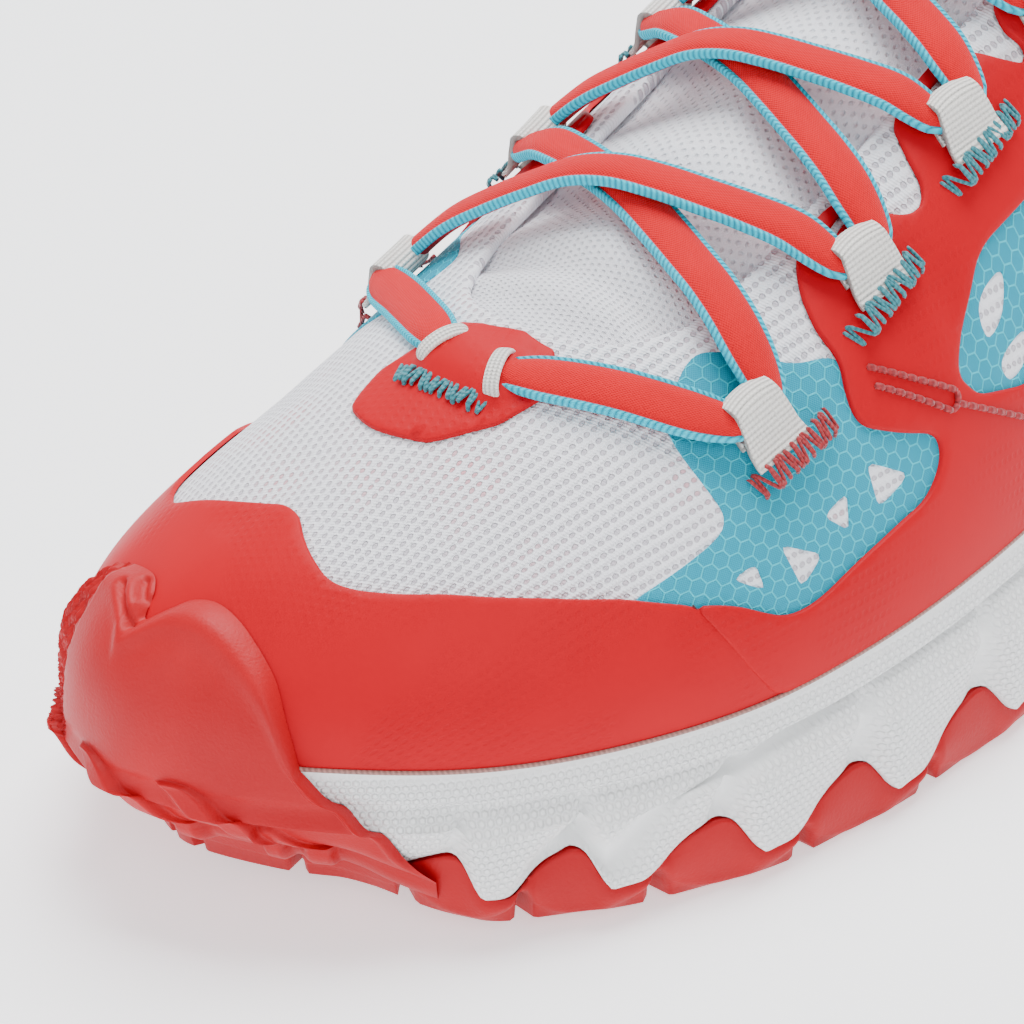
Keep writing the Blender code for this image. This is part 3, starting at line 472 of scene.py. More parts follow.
def redFilmLook():
    # matte red film: the mesh under it shows as a faint row bump, with slow changes of shade and gloss
    look, shader, start = newLook("red film")
    x, y, _ = placeOf(start, "cloth")
    flat = joined(start, x, y)
    row = y / upperLook["rowPitch"]
    shift = row.math("FLOOR", row) * 0.5
    alongX = fract(x / upperLook["holePitch"] + shift) - 0.5
    acrossY = fract(row) - 0.5
    dent = 1.0 - ramp(start, alongX * alongX * 7.0 + acrossY * acrossY * 14.0, 0.2, 1.3)
    slow = noise(start, flat, 60.0, 3.0)
    shown = ramp(start, slow, 0.40, 0.62)
    grain = noise(start, flat, 5200.0, 2.0)
    shade = ramp(start, slow, 0.25, 0.8) * 0.30 + dent * shown * 0.10
    height = grain * 0.10 - dent * shown * 0.25 + slow * 0.8
    setShader(shader, color=blend(start, shade, filmLook["red"], filmLook["shade"]), specular=0.12,
              roughness=filmLook["roughness"] - slow * 0.08 + grain * 0.06,
              normal=bump(start, height, 0.00016, 0.8))
    return look


# The cyan cloth: as for the film, with the size of its honeycomb and of its weave.
ripstopLook = {"lift": 0.00004, "wall": 0.00022, "edge": 0.00020, "spacing": 0.0012, "cell": 0.0019,
               "weave": 0.00034, "cyan": (0.000, 0.360, 0.500), "shade": (0.000, 0.23, 0.35),
               "line": (0.02, 0.62, 0.76)}


def ripstopCloth():
    # cyan ripstop: a plain weave with raised paler threads in a honeycomb stretched along the shoe
    look, shader, start = newLook("ripstop")
    x, y, _ = placeOf(start, "cloth")
    cell = ripstopLook["cell"]
    turned = (x * 0.94 + y * 0.34) / (cell * 1.15)
    crossed = (y * 0.94 - x * 0.34) / cell
    wobble = (noise(start, joined(start, x, y), 420.0, 1.0) - 0.5) * 0.12
    line = 1.0 - ramp(start, hexEdge(turned + wobble, crossed), 0.02, 0.075)
    perMetre = fullTurn / ripstopLook["weave"]
    fine = start.math("SINE", x * perMetre) * start.math("SINE", y * perMetre)
    cloth = blend(start, fine * 0.5 + 0.5, ripstopLook["cyan"], ripstopLook["shade"])
    color = blend(start, line * 0.85, cloth, ripstopLook["line"])
    setShader(shader, color=color, roughness=0.66, sheen=0.05, specular=0.2,
              normal=bump(start, line + fine * 0.18, 0.00014, 0.9))
    return look


# The webbing loops: widths at the fold and root, wall, height over the lace, base over the upper, cloth.
loopLook = {"width": 0.0070, "rootWidth": 0.0088, "wall": 0.00085, "height": 0.0036, "base": 0.0011,
            "rib": 0.00075, "thread": 0.0006, "white": (0.90, 0.87, 0.82), "shade": (0.62, 0.59, 0.55)}


def webbingCloth():
    # off-white webbing: ribs along its length, each with small slanted threads
    look, shader, start = newLook("webbing")
    x, y, _ = placeOf(start, "cloth")
    rib = abs(start.math("SINE", y * (halfTurn / loopLook["rib"])))
    thread = start.math("SINE", x * (fullTurn / loopLook["thread"]) + rib * 2.0)
    color = blend(start, 1.0 - rib ** 0.6, loopLook["white"], loopLook["shade"])
    setShader(shader, color=color, roughness=0.8, sheen=0.25, specular=0.3,
              normal=bump(start, rib + thread * 0.22, 0.00030, 0.9))
    return look


# The lace: its size, its clearance over what it rests on and over the bar it crosses, how far it runs
# straight out of a loop, how much a loop narrows it and over what distance, then its weave and colours.
laceLook = {"width": 0.0070, "thickness": 0.0028, "clear": 0.0006, "over": 0.0002, "step": 0.0007,
            "leave": 0.0030, "toeLeave": 0.0036, "end": 0.0045, "reach": 0.0030, "crossReach": 0.0040,
            "swell": 0.0022, "squeeze": 0.42, "puff": 0.10, "squeezeReach": 0.0046, "braid": 0.00085,
            "weave": 0.00052, "red": (0.700, 0.001, 0.010), "redShade": (0.38, 0.001, 0.005),
            "cyan": (0.000, 0.58, 0.76), "cyanShade": (0.000, 0.26, 0.40)}


def laceCloth():
    # the lace's map is: distance along it, place across it (-1 to 1), 0; its edges are braided cyan cords
    look, shader, start = newLook("lace")
    x, y, _ = placeOf(start, "lace")
    cord = ramp(start, abs(y), 0.76, 0.80)
    braid = abs(start.math("SINE", x * (halfTurn / laceLook["braid"]) + abs(y) * 9.0))
    weave = start.math("SINE", x * (fullTurn / laceLook["weave"])) * start.math("SINE", y * 62.0)
    slow = noise(start, joined(start, x * 90.0, y * 1.2), 1.0, 2.0)
    body = blend(start, weave * 0.28 + slow * 0.4, laceLook["red"], laceLook["redShade"])
    edge = blend(start, 1.0 - braid ** 0.7, laceLook["cyan"], laceLook["cyanShade"])
    height = cord * braid * 1.2 + (1.0 - cord) * weave * 0.25
    setShader(shader, color=blend(start, cord, body, edge), roughness=0.85, sheen=0.08, sheenRoughness=0.5,
              specular=0.12, normal=bump(start, height, 0.00022, 0.9))
    return look


def threadLook(name, color):
    look, shader, start = newLook(name)
    x, y, _ = placeOf(start, "lace")
    twist = start.math("SINE", x * (fullTurn / 0.0007) + y * halfTurn)
    dark = tuple(c * 0.45 for c in color)
    setShader(shader, color=blend(start, twist * 0.35 + 0.35, color, dark), roughness=0.55, sheen=0.2,
              normal=bump(start, twist, 0.00006, 0.8))
    return look


# The sole: the depth of its lugs; its lobes' lowest height, the arches' rise and recess; the toe's
# rounding; the flat bottom's share and height over the lugs; the grid; the size of the foam's scales.
soleLook = {"lugDepth": 0.0045, "lobeFoot": 0.0042, "lobeRise": 0.0057, "lobeRecess": 0.0018,
            "toeRounding": 0.0080, "flatShare": 0.84, "base": 0.0025, "columns": 1080, "rows": 72,
            "trough": 0.0026, "ridge": 0.0008, "flute": 0.0021, "scale": 0.00115,
            # grime: the colour of the foam's dirt, and also of the painted shade in the seams between its
            # scales
            "white": (0.89, 0.90, 0.90), "grime": (0.62, 0.63, 0.65)}


def foamLook():
    # white foam: honeycomb scales, their seams darkened with painted shade; the map's third value is how
    # plain the surface is, in the flute and scoops
    look, shader, start = newLook("midsole foam")
    x, y, plain = placeOf(start, "foam")
    size = soleLook["scale"]
    wobble = (noise(start, joined(start, x, y), 260.0, 1.0) - 0.5) * 0.25
    scale = ramp(start, hexEdge(x / size + wobble, y / (size * 0.9)), 0.02, 0.30)
    fade = 1.0 - plain
    grain = noise(start, objectPlace(start), 3000.0, 2.0)
    grime = ramp(start, noise(start, objectPlace(start), 38.0, 4.0), 0.50, 0.80)
    # painted shade: the seams between the scales are darkened towards the grime colour, less where plain
    seam = (1.0 - scale) * fade * 0.22
    color = blend(start, grime * 0.10 + seam, soleLook["white"], soleLook["grime"])
    setShader(shader, color=color, roughness=0.50 + grain * 0.10, specular=0.4, subsurface=0.06,
              subsurfaceRadius=(0.6, 0.6, 0.6), subsurfaceScale=0.002,
              normal=bump(start, scale * fade + grain * 0.08, 0.00030, 0.85))
    return look


rubberLook = {"red": (0.400, 0.001, 0.006), "light": (0.47, 0.004, 0.010), "roughness": 0.46}


def rubberCloth():
    # red rubber: satin, with a fine grain, faint flow marks and paler worn patches
    look, shader, start = newLook("outsole rubber")
    place = objectPlace(start)
    slow = noise(start, place, 45.0, 3.0)
    grain = noise(start, place, 2400.0, 2.0)
    coarse = noise(start, place, 700.0, 3.0)
    color = blend(start, ramp(start, slow, 0.35, 0.75), rubberLook["red"], rubberLook["light"])
    setShader(shader, color=color, specular=0.22,
              roughness=rubberLook["roughness"] + grain * 0.12 - slow * 0.08,
              normal=bump(start, grain * 0.35 + coarse * 0.15 + slow * 1.2, 0.00025, 0.6))
    return look


def linerLook():
    look, shader, start = newLook("liner")
    place = objectPlace(start)
    weave = noise(start, place, 1500.0, 2.0)
    color = blend(start, weave, (0.74, 0.75, 0.79), (0.58, 0.59, 0.64))
    setShader(shader, color=color, roughness=0.9, sheen=0.3, normal=bump(start, weave, 0.0003, 0.6))
    return look


def floorLook():
    look, shader, start = newLook("floor")
    grain = noise(start, objectPlace(start), 500.0, 2.0)
    setShader(shader, color=blend(start, grain, (0.93, 0.935, 0.945), (0.915, 0.92, 0.93)), roughness=0.6,
              specular=0.2)
    shader.inputs["Emission Color"].default_value = (0.96, 0.98, 1.0, 1)
    shader.inputs["Emission Strength"].default_value = 0.85
    return look


def buildUpper(look):
    # outer face, a rounded edge, then the inner face down again; the wall thickens to the collar's
    # padding
    u = np.linspace(0, fullRound, upperLook["columns"], endpoint=False)[None, :]
    away = np.minimum(u, fullRound - u)
    collar = smooth(5.0, 6.8, 11.8 - away)
    v = np.linspace(0, 1, upperLook["rows"])[:, None]
    puff = 0.0009 * collar * smooth(0.74, 0.86, v) * smooth(1.02, 0.90, v)
    outer = onWall(u, v, puff)
    innerV = np.linspace(1, 0, upperLook["linerRows"])[:, None]
    thick = upperLook["wall"] + upperLook["collarPadding"] * collar * smooth(0.40, 0.75, innerV)
    inner = onWall(u, innerV, -thick)
    top, edgeOut = bareWall(u, 1.0), wallOutward(u, 1.0)
    up = unit(bareWall(u, 1.0) - bareWall(u, 0.98))
    half = thick[:1, :, None] * 0.5
    turn = np.linspace(0, np.pi, 9)[1:-1, None, None]
    edge = top - edgeOut * half + (edgeOut * np.cos(turn) + up * np.sin(turn)) * half
    points = np.concatenate([outer, edge, inner])
    table = np.arange(0, 6.01, 0.05)
    heel = np.interp(table, *heelGirth())
    behind = np.broadcast_to(smooth(5.5, 3.0, away), points.shape[:2])
    flat = clothPlace(points)
    flat[..., 0] += behind * (np.interp(away, table, heel) - points[..., 0])
    flat[..., 1] += behind * (points[..., 2] - flat[..., 1])
    faces = gridFaces(len(points), points.shape[1], True, True)
    outward = np.zeros(points.shape)
    outward[:len(outer)] = wallOutward(u, 0.5)
    meshObject("upper_cloth", points, faces, look, {"cloth": flat}, outward, ("upper",))


# Metres that one u and one v stand for in the outlines, and the steps along an outline and a cut-out.
flatScale = np.array([0.0145, 0.075])
outlineStep, holeStep = 0.0009, 0.0007


def roundedOutline(corners, radius, step):
    # each corner is replaced by a quadratic arc that starts at most radius from it; then even steps along
    corners = np.asarray(corners, float) * flatScale
    before = np.roll(corners, 1, axis=0) - corners
    after = np.roll(corners, -1, axis=0) - corners
    outline = []
    for point, toBefore, toAfter in zip(corners, before, after):
        cutBefore = min(radius / np.linalg.norm(toBefore), 0.45)
        cutAfter = min(radius / np.linalg.norm(toAfter), 0.45)
        for t in np.linspace(0, 1, 7):
            start, end = point + toBefore * cutBefore, point + toAfter * cutAfter
            outline.append(start * (1 - t) ** 2 + 2 * point * t * (1 - t) + end * t ** 2)
    outline.append(outline[0])
    return evenPath(np.array(outline), step)[0][:-1] / flatScale


def turning(outline):
    x, y = (outline * flatScale).T
    return np.sum(x * np.roll(y, -1) - y * np.roll(x, -1))


def insideOf(places, loops):
    # even-odd rule over all loops
    inside = np.zeros(len(places), bool)
    for loop in loops:
        x1, y1 = loop.T
        x2, y2 = np.roll(loop, -1, axis=0).T
        for begin in range(0, len(places), 4000):
            px, py = places[begin:begin + 4000, :1], places[begin:begin + 4000, 1:]
            rise = np.where(y2 == y1, 1e-12, y2 - y1)
            crosses = ((y1 > py) != (y2 > py)) & (px < x1 + (py - y1) / rise * (x2 - x1))
            inside[begin:begin + 4000] ^= crosses.sum(1) % 2 == 1
    return inside


def steppedIn(outline, distance):
    # moves an outline to its left by a distance in metres
    flat = outline * flatScale
    along = unit(np.roll(flat, -1, axis=0) - np.roll(flat, 1, axis=0))
    return (flat + np.stack([-along[:, 1], along[:, 0]], -1) * distance) / flatScale


def buildPanel(name, corners, holes, style, look, replaced=(), radius=0.0025, mirrored=False,
               lift=0.0, shaped=None):
    # a film on the upper: rounded edge rings along each outline, and an even triangulation inside them
    outer = roundedOutline(corners, radius, outlineStep)
    outer = outer if turning(outer) > 0 else outer[::-1]
    loops = [outer]
    for hole, holeRadius in holes:
        cut = roundedOutline(hole, holeRadius, holeStep)
        loops.append(cut if turning(cut) < 0 else cut[::-1])
    inner = [steppedIn(loop, style["edge"]) for loop in loops]
    du, dv = style["spacing"] / flatScale
    low, high = outer.min(0), outer.max(0)
    gridU, gridV = np.meshgrid(np.arange(low[0], high[0], du), np.arange(low[1], high[1], dv))
    gridU = gridU + (np.arange(gridU.shape[0]) % 2)[:, None] * du * 0.5
    places = np.stack([gridU.ravel(), gridV.ravel()], -1)
    clear = [steppedIn(loop, style["edge"] + style["spacing"] * 0.6) for loop in loops]
    places = places[insideOf(places, clear)]
    start, edges, known = 0, [], []
    for loop in inner:
        count = len(loop)
        edges += [(start + k, start + (k + 1) % count) for k in range(count)]
        known.append(np.arange(start, start + count))
        start += count
    flat = np.concatenate(inner + [places]) * flatScale
    made = delaunay_2d_cdt([tuple(p) for p in flat], edges, [], 0, 1e-7)
    found = {}
    for index, sources in enumerate(made[3]):
        for source in sources:
            found[source] = index
    field = np.array(made[0], float)
    triangles = np.array([f for f in made[2] if len(f) == 3])
    triangles = triangles[insideOf(field[triangles].mean(1), [loop * flatScale for loop in inner])]
    places = [field / flatScale]
    heights = [np.full(len(field), style["lift"] + style["wall"] + lift)]
    base = len(field)
    for loop, ring in zip(loops, known):
        ringIds = np.array([found[k] for k in ring])
        count = len(loop)
        places += [loop, steppedIn(loop, style["edge"] * 0.3)]
        heights += [np.full(count, style["lift"] - 0.0001 + lift * 0.5),
                    np.full(count, style["lift"] + style["wall"] * 0.75 + lift)]
        foot, shoulder = base + np.arange(count), base + count + np.arange(count)
        for lowIds, highIds in ((foot, shoulder), (shoulder, ringIds)):
            nextLow, nextHigh = np.roll(lowIds, -1), np.roll(highIds, -1)
            triangles = np.concatenate([triangles, np.stack([lowIds, nextLow, nextHigh], -1),
                                        np.stack([lowIds, nextHigh, highIds], -1)])
        base += 2 * count
    u, v = np.concatenate(places).T
    v = np.clip(v, 0.0, 1.0)
    heights = np.concatenate(heights)
    u = fullRound - u if mirrored else u
    if shaped is not None:
        heights = heights + shaped(bareWall(u, v))
    points = onWall(u, v, heights)
    meshObject(name, points, triangles, look, {"cloth": clothPlace(points)}, wallOutward(u, v),
               replaced)


# Outlines of the overlays and panels in u, v, read round each one.
mudguardOutline = (
    (10.72, 0.000), (11.40, 0.000), (12.20, 0.000), (13.20, 0.000), (14.50, 0.000), (16.00, 0.000),
    (17.60, 0.000), (19.00, 0.000), (20.60, 0.000), (21.24, 0.000), (20.92, 0.170), (20.58, 0.310),
    (20.10, 0.390), (19.52, 0.455), (19.08, 0.435), (18.50, 0.430), (17.98, 0.440), (17.50, 0.460),
    (17.00, 0.515), (16.74, 0.545), (16.30, 0.590), (15.88, 0.610), (15.56, 0.600), (15.30, 0.560),
    (15.04, 0.520), (14.72, 0.480), (14.40, 0.466), (14.00, 0.462), (13.52, 0.462), (12.70, 0.432),
    (12.02, 0.392), (11.42, 0.325), (11.12, 0.220),
)
quarterOutline = (
    (10.84, 0.000), (8.00, 0.000), (5.00, 0.000), (2.50, 0.000), (0.01, 0.000), (0.01, 0.350),
    (0.01, 0.710), (0.80, 0.700), (1.60, 0.690), (2.60, 0.700), (3.60, 0.740), (4.50, 0.800),
    (5.30, 0.860), (6.00, 0.930), (6.50, 0.955), (6.66, 0.975), (7.02, 0.980), (7.16, 0.970),
    (7.16, 0.920), (7.12, 0.860), (7.16, 0.825), (7.34, 0.850), (7.64, 0.940), (7.80, 0.985),
    (8.06, 0.985), (8.20, 0.960), (8.14, 0.870), (7.98, 0.800), (7.98, 0.765), (8.20, 0.825),
    (8.66, 0.985), (8.80, 0.995), (9.06, 0.995), (9.20, 0.960), (9.14, 0.850), (9.06, 0.765),
    (9.10, 0.730), (9.26, 0.755), (9.50, 0.830), (9.78, 0.950), (10.08, 0.950), (10.18, 0.900),
    (10.20, 0.820), (10.14, 0.720), (10.00, 0.625), (9.98, 0.550), (9.94, 0.500), (9.86, 0.465),
    (9.56, 0.400), (9.24, 0.345), (9.22, 0.290), (9.40, 0.245), (9.66, 0.245), (10.10, 0.230),
    (10.46, 0.200), (10.72, 0.205), (11.12, 0.292), (11.46, 0.330), (11.22, 0.215),
)
windowOutline = (
    (9.00, 0.410), (8.86, 0.480), (8.66, 0.565), (8.20, 0.560), (7.60, 0.560), (7.16, 0.470),
    (7.30, 0.330), (7.80, 0.270), (8.28, 0.275), (8.80, 0.340),
)
windowClothOutline = (
    (9.10, 0.415), (8.94, 0.495), (8.70, 0.590), (8.20, 0.585), (7.56, 0.585), (7.06, 0.475),
    (7.22, 0.315), (7.78, 0.248), (8.28, 0.252), (8.86, 0.325),
)
ripstopOutline = (
    (11.98, 0.370), (11.38, 0.300), (11.12, 0.262), (10.72, 0.185), (10.46, 0.180), (10.10, 0.208),
    (9.66, 0.222), (9.36, 0.226), (9.16, 0.280), (9.18, 0.355), (9.52, 0.420), (9.82, 0.485),
    (9.90, 0.550), (10.00, 0.640), (10.36, 0.700), (10.62, 0.780), (10.90, 0.860), (11.14, 0.905),
    (11.30, 0.895), (11.48, 0.830), (11.58, 0.760), (11.50, 0.700), (11.26, 0.580), (11.12, 0.500),
    (11.16, 0.460), (11.52, 0.420),
)
ripstopHoles = (
    (((9.90, 0.405), (9.52, 0.315), (9.84, 0.300)), 0.0016),
    (((10.32, 0.368), (10.10, 0.380), (10.12, 0.302)), 0.0012),
    (((10.70, 0.370), (10.36, 0.292), (10.56, 0.250)), 0.0014),
    (((11.12, 0.352), (10.92, 0.362), (10.86, 0.292)), 0.0012),
)
windowHoles = ((((8.72, 0.490), (8.40, 0.500), (8.44, 0.420), (8.64, 0.400)), 0.0030),
               (((8.56, 0.360), (8.22, 0.370), (8.24, 0.310), (8.44, 0.300)), 0.0026),
               (((8.14, 0.500), (7.84, 0.510), (7.84, 0.430), (8.06, 0.410)), 0.0028),
               (((7.66, 0.490), (7.42, 0.470), (7.44, 0.400), (7.62, 0.390)), 0.0026))
patchOutline = (
    (16.78, 0.780), (17.48, 0.840), (17.58, 0.920), (17.42, 0.970), (16.40, 0.985), (14.22, 0.995),
    (13.26, 0.975), (13.08, 0.885), (13.72, 0.822), (14.76, 0.780), (15.78, 0.778),
)
slotHoles = tuple((((u + 0.16, v + 0.075), (u - 0.10, v + 0.085), (u - 0.14, v + 0.060),
                    (u + 0.14, v + 0.045)), 0.0006) for u, v in ((9.80, 0.815), (8.86, 0.855)))


def buildPanels():
    red, cyan = redFilmLook(), ripstopCloth()
    buildPanel("mudguard_film", mudguardOutline, (), filmLook, red, ("mudguard",))
    buildPanel("toe_patch_film", patchOutline, (), filmLook, red, ("toe_patch",),
               radius=0.0012, shaped=tunnelHeight)
    for side, mirrored in bothSides:
        buildPanel(f"quarter_film_{side}", quarterOutline, ((windowOutline, 0.0022),) + slotHoles, filmLook,
                   red, (f"quarter_{side}",), mirrored=mirrored, lift=filmLook["over"])
        buildPanel(f"ripstop_cloth_{side}", ripstopOutline, ripstopHoles, ripstopLook, cyan,
                   (f"ripstop_{side}",), mirrored=mirrored)
        buildPanel(f"window_cloth_{side}", windowClothOutline, windowHoles, ripstopLook, cyan,
                   mirrored=mirrored)


# Tongue: where its sides run under the upper (u, v), where it leaves the throat edge (u, v), and its
# middle
# line as shares of length and instep height; then its free end: middle line, half width and how far the
# sides hang.
tongueRows = (
    (12.70, 0.72, 13.60, 0.84, 0.816, 0.540), (12.25, 0.78, 12.75, 0.94, 0.776, 0.600),
    (11.65, 0.82, 11.80, 1.00, 0.742, 0.640), (11.00, 0.84, 11.00, 1.00, 0.705, 0.682),
    (10.00, 0.84, 10.00, 1.00, 0.640, 0.755), (9.00, 0.84, 9.00, 1.00, 0.563, 0.846),
    (8.00, 0.86, 8.00, 1.00, 0.486, 0.936), (7.35, 0.93, 7.35, 1.00, 0.434, 1.000),
)
tongueTop = ((0.396, 1.062, 0.140, 0.050), (0.366, 1.140, 0.150, 0.050))


def tongueLines():
    sideU, sideV, edgeU, edgeV, midX, midZ = np.array(tongueRows).T
    offset = np.full(sideU.shape, -tongueLook["under"])
    middle = np.zeros(sideU.shape + (3,))
    middle[:, 0] = (midX - shoe["middleShare"]) * shoe["length"]
    middle[:, 2] = midZ * shoe["instepHeight"]
    lateral = [onWall(sideU, sideV, offset), onWall(edgeU, edgeV, offset)]
    medial = [onWall(fullRound - edgeU, edgeV, offset), onWall(fullRound - sideU, sideV, offset)]
    lines = np.stack(lateral + [middle] + medial, axis=1)
    x, z, half, crown = (column[:, None] for column in np.array(tongueTop).T)
    across = np.array([1.0, 0.62, 0.0, -0.62, -1.0])
    topX = (x - shoe["middleShare"] - 0.06 * across ** 2 * half) * shoe["length"]
    topY = half * shoe["ballWidth"] * across
    topZ = (z - crown * across ** 2) * shoe["instepHeight"]
    return np.concatenate([lines, np.stack([topX, topY, topZ], -1)])


def denseFace(rows, columns):
    across = smoothThrough(tongueLines().transpose(1, 0, 2), columns)
    return smoothThrough(across.transpose(1, 0, 2), rows)


def faceOutward(grid):
    normal = unit(np.cross(np.gradient(grid, axis=0), np.gradient(grid, axis=1)))
    return normal if normal[..., 2].sum() > 0 else -normal


def buildTongue():
    # a padded sheet: the face swells between the laces, and its thickness rounds off at the sides and the
    # free end
    rows, columns = tongueLook["rows"], tongueLook["columns"]
    face = denseFace(rows, columns)
    out = faceOutward(face)
    along = np.linspace(0, 1, rows)[:, None]
    side = np.linspace(-1, 1, columns)[None, :]
    sideEdge = np.sqrt(np.clip(1 - np.abs(side) ** 6, 0, 1))
    edge = sideEdge * np.sqrt(np.clip(1 - smooth(0.975, 1.0, along) ** 2, 0, 1))
    thick = tongueLook["seam"] + (tongueLook["thickness"] - tongueLook["seam"]) * smooth(0.05, 0.45, along)
    swell = 0.0007 * np.sin(along * 62.0) * smooth(0.9, 0.3, np.abs(side)) * smooth(0.1, 0.3, along)
    seam = 0.0008 * np.exp(-((along - 0.085) / 0.012) ** 2)
    upFace = face + out * (swell - seam - (1 - edge) * thick * 0.5)[..., None]
    downFace = face - out * (thick * (0.5 + 0.5 * edge))[..., None]
    points = np.concatenate([upFace, downFace[:, ::-1]], axis=1)
    place = face * (0.0, 1.0, 0.0)
    place[..., 0] = along * tongueLook["clothLength"]
    place = np.concatenate([place, place[:, ::-1]], axis=1)
    faces = gridFaces(rows, points.shape[1], False, True)
    ends = []
    for row in (0, rows - 1):
        left = row * 2 * columns + np.arange(columns - 1)
        right = row * 2 * columns + 2 * columns - 1 - np.arange(columns - 1)
        ends.append(np.stack([left, right, right - 1, left + 1], -1)[:, ::1 if row else -1])
    faces = np.concatenate([faces] + ends)
    outward = np.concatenate([out, -out[:, ::-1]], axis=1)
    meshObject("tongue_cloth", points, faces, spacerLook(), {"cloth": place}, outward,
               ("tongue",))


# Webbing loops on the lateral side, from the toe: the tack's middle and the mouth's middle in u, v.
loops = (
    (10.62, 0.555, 10.86, 0.700), (9.55, 0.665, 9.74, 0.800), (8.55, 0.720, 8.76, 0.860),
    (7.63, 0.750, 7.85, 0.890), (6.66, 0.770, 6.84, 0.900),
)


def loopFrame(number, mirrored):
    # the mouth's foot, then unit vectors towards the throat, across the webbing (to the toe) and
    # out of the upper
    tackU, tackV, mouthU, mouthV = loops[number]
    if mirrored:
        tackU, mouthU = fullRound - tackU, fullRound - mouthU
    tack, mouth = onWall(tackU, tackV, 0.0), onWall(mouthU, mouthV, 0.0)
    out = wallOutward(mouthU, mouthV)
    along = unit(mouth - tack)
    along = unit(along - out * (along @ out))
    across = np.cross(out, along)
    return tack, mouth, along, across if across[0] > 0 else -across, out


def stripSection(path, wall):
    # offsets a line to both sides by half the wall and rounds its two ends
    step = unit(np.gradient(path, axis=0))
    side = np.stack([-step[:, 1], step[:, 0]], -1) * wall * 0.5
    turn = np.linspace(0, np.pi, 5)[1:-1, None]
    endCap = path[-1] + side[-1] * np.cos(turn) + step[-1] * wall * 0.5 * np.sin(turn)
    startCap = path[0] - side[0] * np.cos(turn) - step[0] * wall * 0.5 * np.sin(turn)
    return np.concatenate([path + side, endCap, (path - side)[::-1], startCap])


def buildLoops(look):
    # a folded strip: up from the tack, round the lace and back beneath itself
    for side, mirrored in bothSides:
        for number in range(len(loops)):
            tack, mouth, along, across, out = loopFrame(number, mirrored)
            length = np.linalg.norm(mouth - tack)
            base, turn = loopLook["base"], loopLook["height"] * 0.5
            path = smoothThrough([(-length * 0.55, base), (-0.0035, base), (turn * 0.4, base + turn * 0.15),
                                  (turn * 1.05, base + turn * 0.9), (turn * 0.55, base + turn * 1.85),
                                  (-0.0006, base + turn * 2.1), (-length * 0.45, base + turn * 1.35),
                                  (-length * 0.76, base + turn * 0.55),
                                  (-length * 1.06, base + turn * 0.30)], 60)
            path = evenPath(path, 0.0004)[0]
            outline = stripSection(path, loopLook["wall"])
            cross = np.linspace(-1, 1, 29)
            share = np.clip(-outline[:, 0] / length, 0, 1)
            half = 0.5 * (loopLook["width"] + (loopLook["rootWidth"] - loopLook["width"]) * share)
            sag = 0.0005 * (cross[None, :] ** 2) * smooth(0.3, 0.0, share)[:, None]
            spread = half[:, None] * cross[None, :]
            points = (mouth + (outline[:, :1, None] - sag[..., None]) * along + outline[:, 1:, None] * out
                      + spread[..., None] * across)
            distance = lengthAlong(outline)
            place = np.zeros(points.shape)
            place[..., 0] = spread
            place[..., 1] = distance[:, None]
            rows, columns = points.shape[:2]
            faces = gridFaces(rows, columns, True, False)
            caps = []
            for column in (0, columns - 1):
                low = np.arange(rows // 2 - 1)
                caps.append(np.stack([low, low + 1, rows - 2 - low, rows - 1 - low], -1) * columns + column)
            caps[0] = caps[0][:, ::-1]
            meshObject(f"webbing_{side}_{number + 1}", points, np.concatenate([faces] + caps), look,
                       {"cloth": place}, replaced=(f"webbing_loop_{side}_{number + 1}",))


def sweep(path, outs, profile, widths, heights):
    # rings of a profile along a path; the profile is (across, out) in units of half width and half height
    along = unit(np.gradient(path, axis=0))
    across = unit(np.cross(along, outs))
    out = unit(np.cross(across, along))
    return (path[:, None] + across[:, None] * (profile[None, :, :1] * widths[:, None, None])
            + out[:, None] * (profile[None, :, 1:] * heights[:, None, None]))


def laceProfile():
    # padded flat tube: a soft ellipse in the middle and a round cord along each edge
    s = np.sin(np.linspace(-np.pi / 2, np.pi / 2, 33))
    body = np.sqrt(np.clip(1 - np.abs(s / 0.84) ** 2.4, 0, 1))
    cordMiddle, cordSize = 0.885, 0.115
    cord = 0.50 * np.sqrt(np.clip(1 - ((np.abs(s) - cordMiddle) / cordSize) ** 2, 0, 1))
    height = np.maximum(body, cord)
    top = np.stack([s, height], -1)
    bottom = np.stack([s[::-1], -height[::-1]], -1)[1:-1]
    return np.concatenate([top, bottom])


def groundPoints():
    # points of the tongue's face and the upper's top edge, which the lace rests on
    face = denseFace(150, 61)
    u, v = np.meshgrid(np.linspace(5, fullRound - 5, 260), np.linspace(0.6, 1, 30))
    return np.concatenate([face.reshape(-1, 3), onWall(u, v, np.full(u.shape, 0.0010)).reshape(-1, 3)])


def groundHeight(ground, point, reach):
    away = np.hypot(ground[:, 0] - point[0], ground[:, 1] - point[1])
    near = away < reach
    return ground[near, 2].max() if near.any() else -1.0


def laceSeat(number, mirrored):
    # the middle of the fold that the lace passes through
    _, mouth, along, across, out = loopFrame(number, mirrored)
    return mouth + out * (loopLook["base"] + loopLook["height"] * 0.5) - along * 0.0004, across, out


def tautLine(share, floor):
    # a string pulled tight over the floor: the upper convex hull of its points, then slightly rounded
    hull = []
    for point in zip(share, floor):
        while len(hull) > 1 and ((hull[-1][0] - hull[-2][0]) * (point[1] - hull[-2][1])
                                 >= (hull[-1][1] - hull[-2][1]) * (point[0] - hull[-2][0])):
            hull.pop()
        hull.append(point)
    tight = np.interp(share, *np.array(hull).T)
    for _ in range(12):
        tight[1:-1] = 0.25 * tight[:-2] + 0.5 * tight[1:-1] + 0.25 * tight[2:]
    return tight


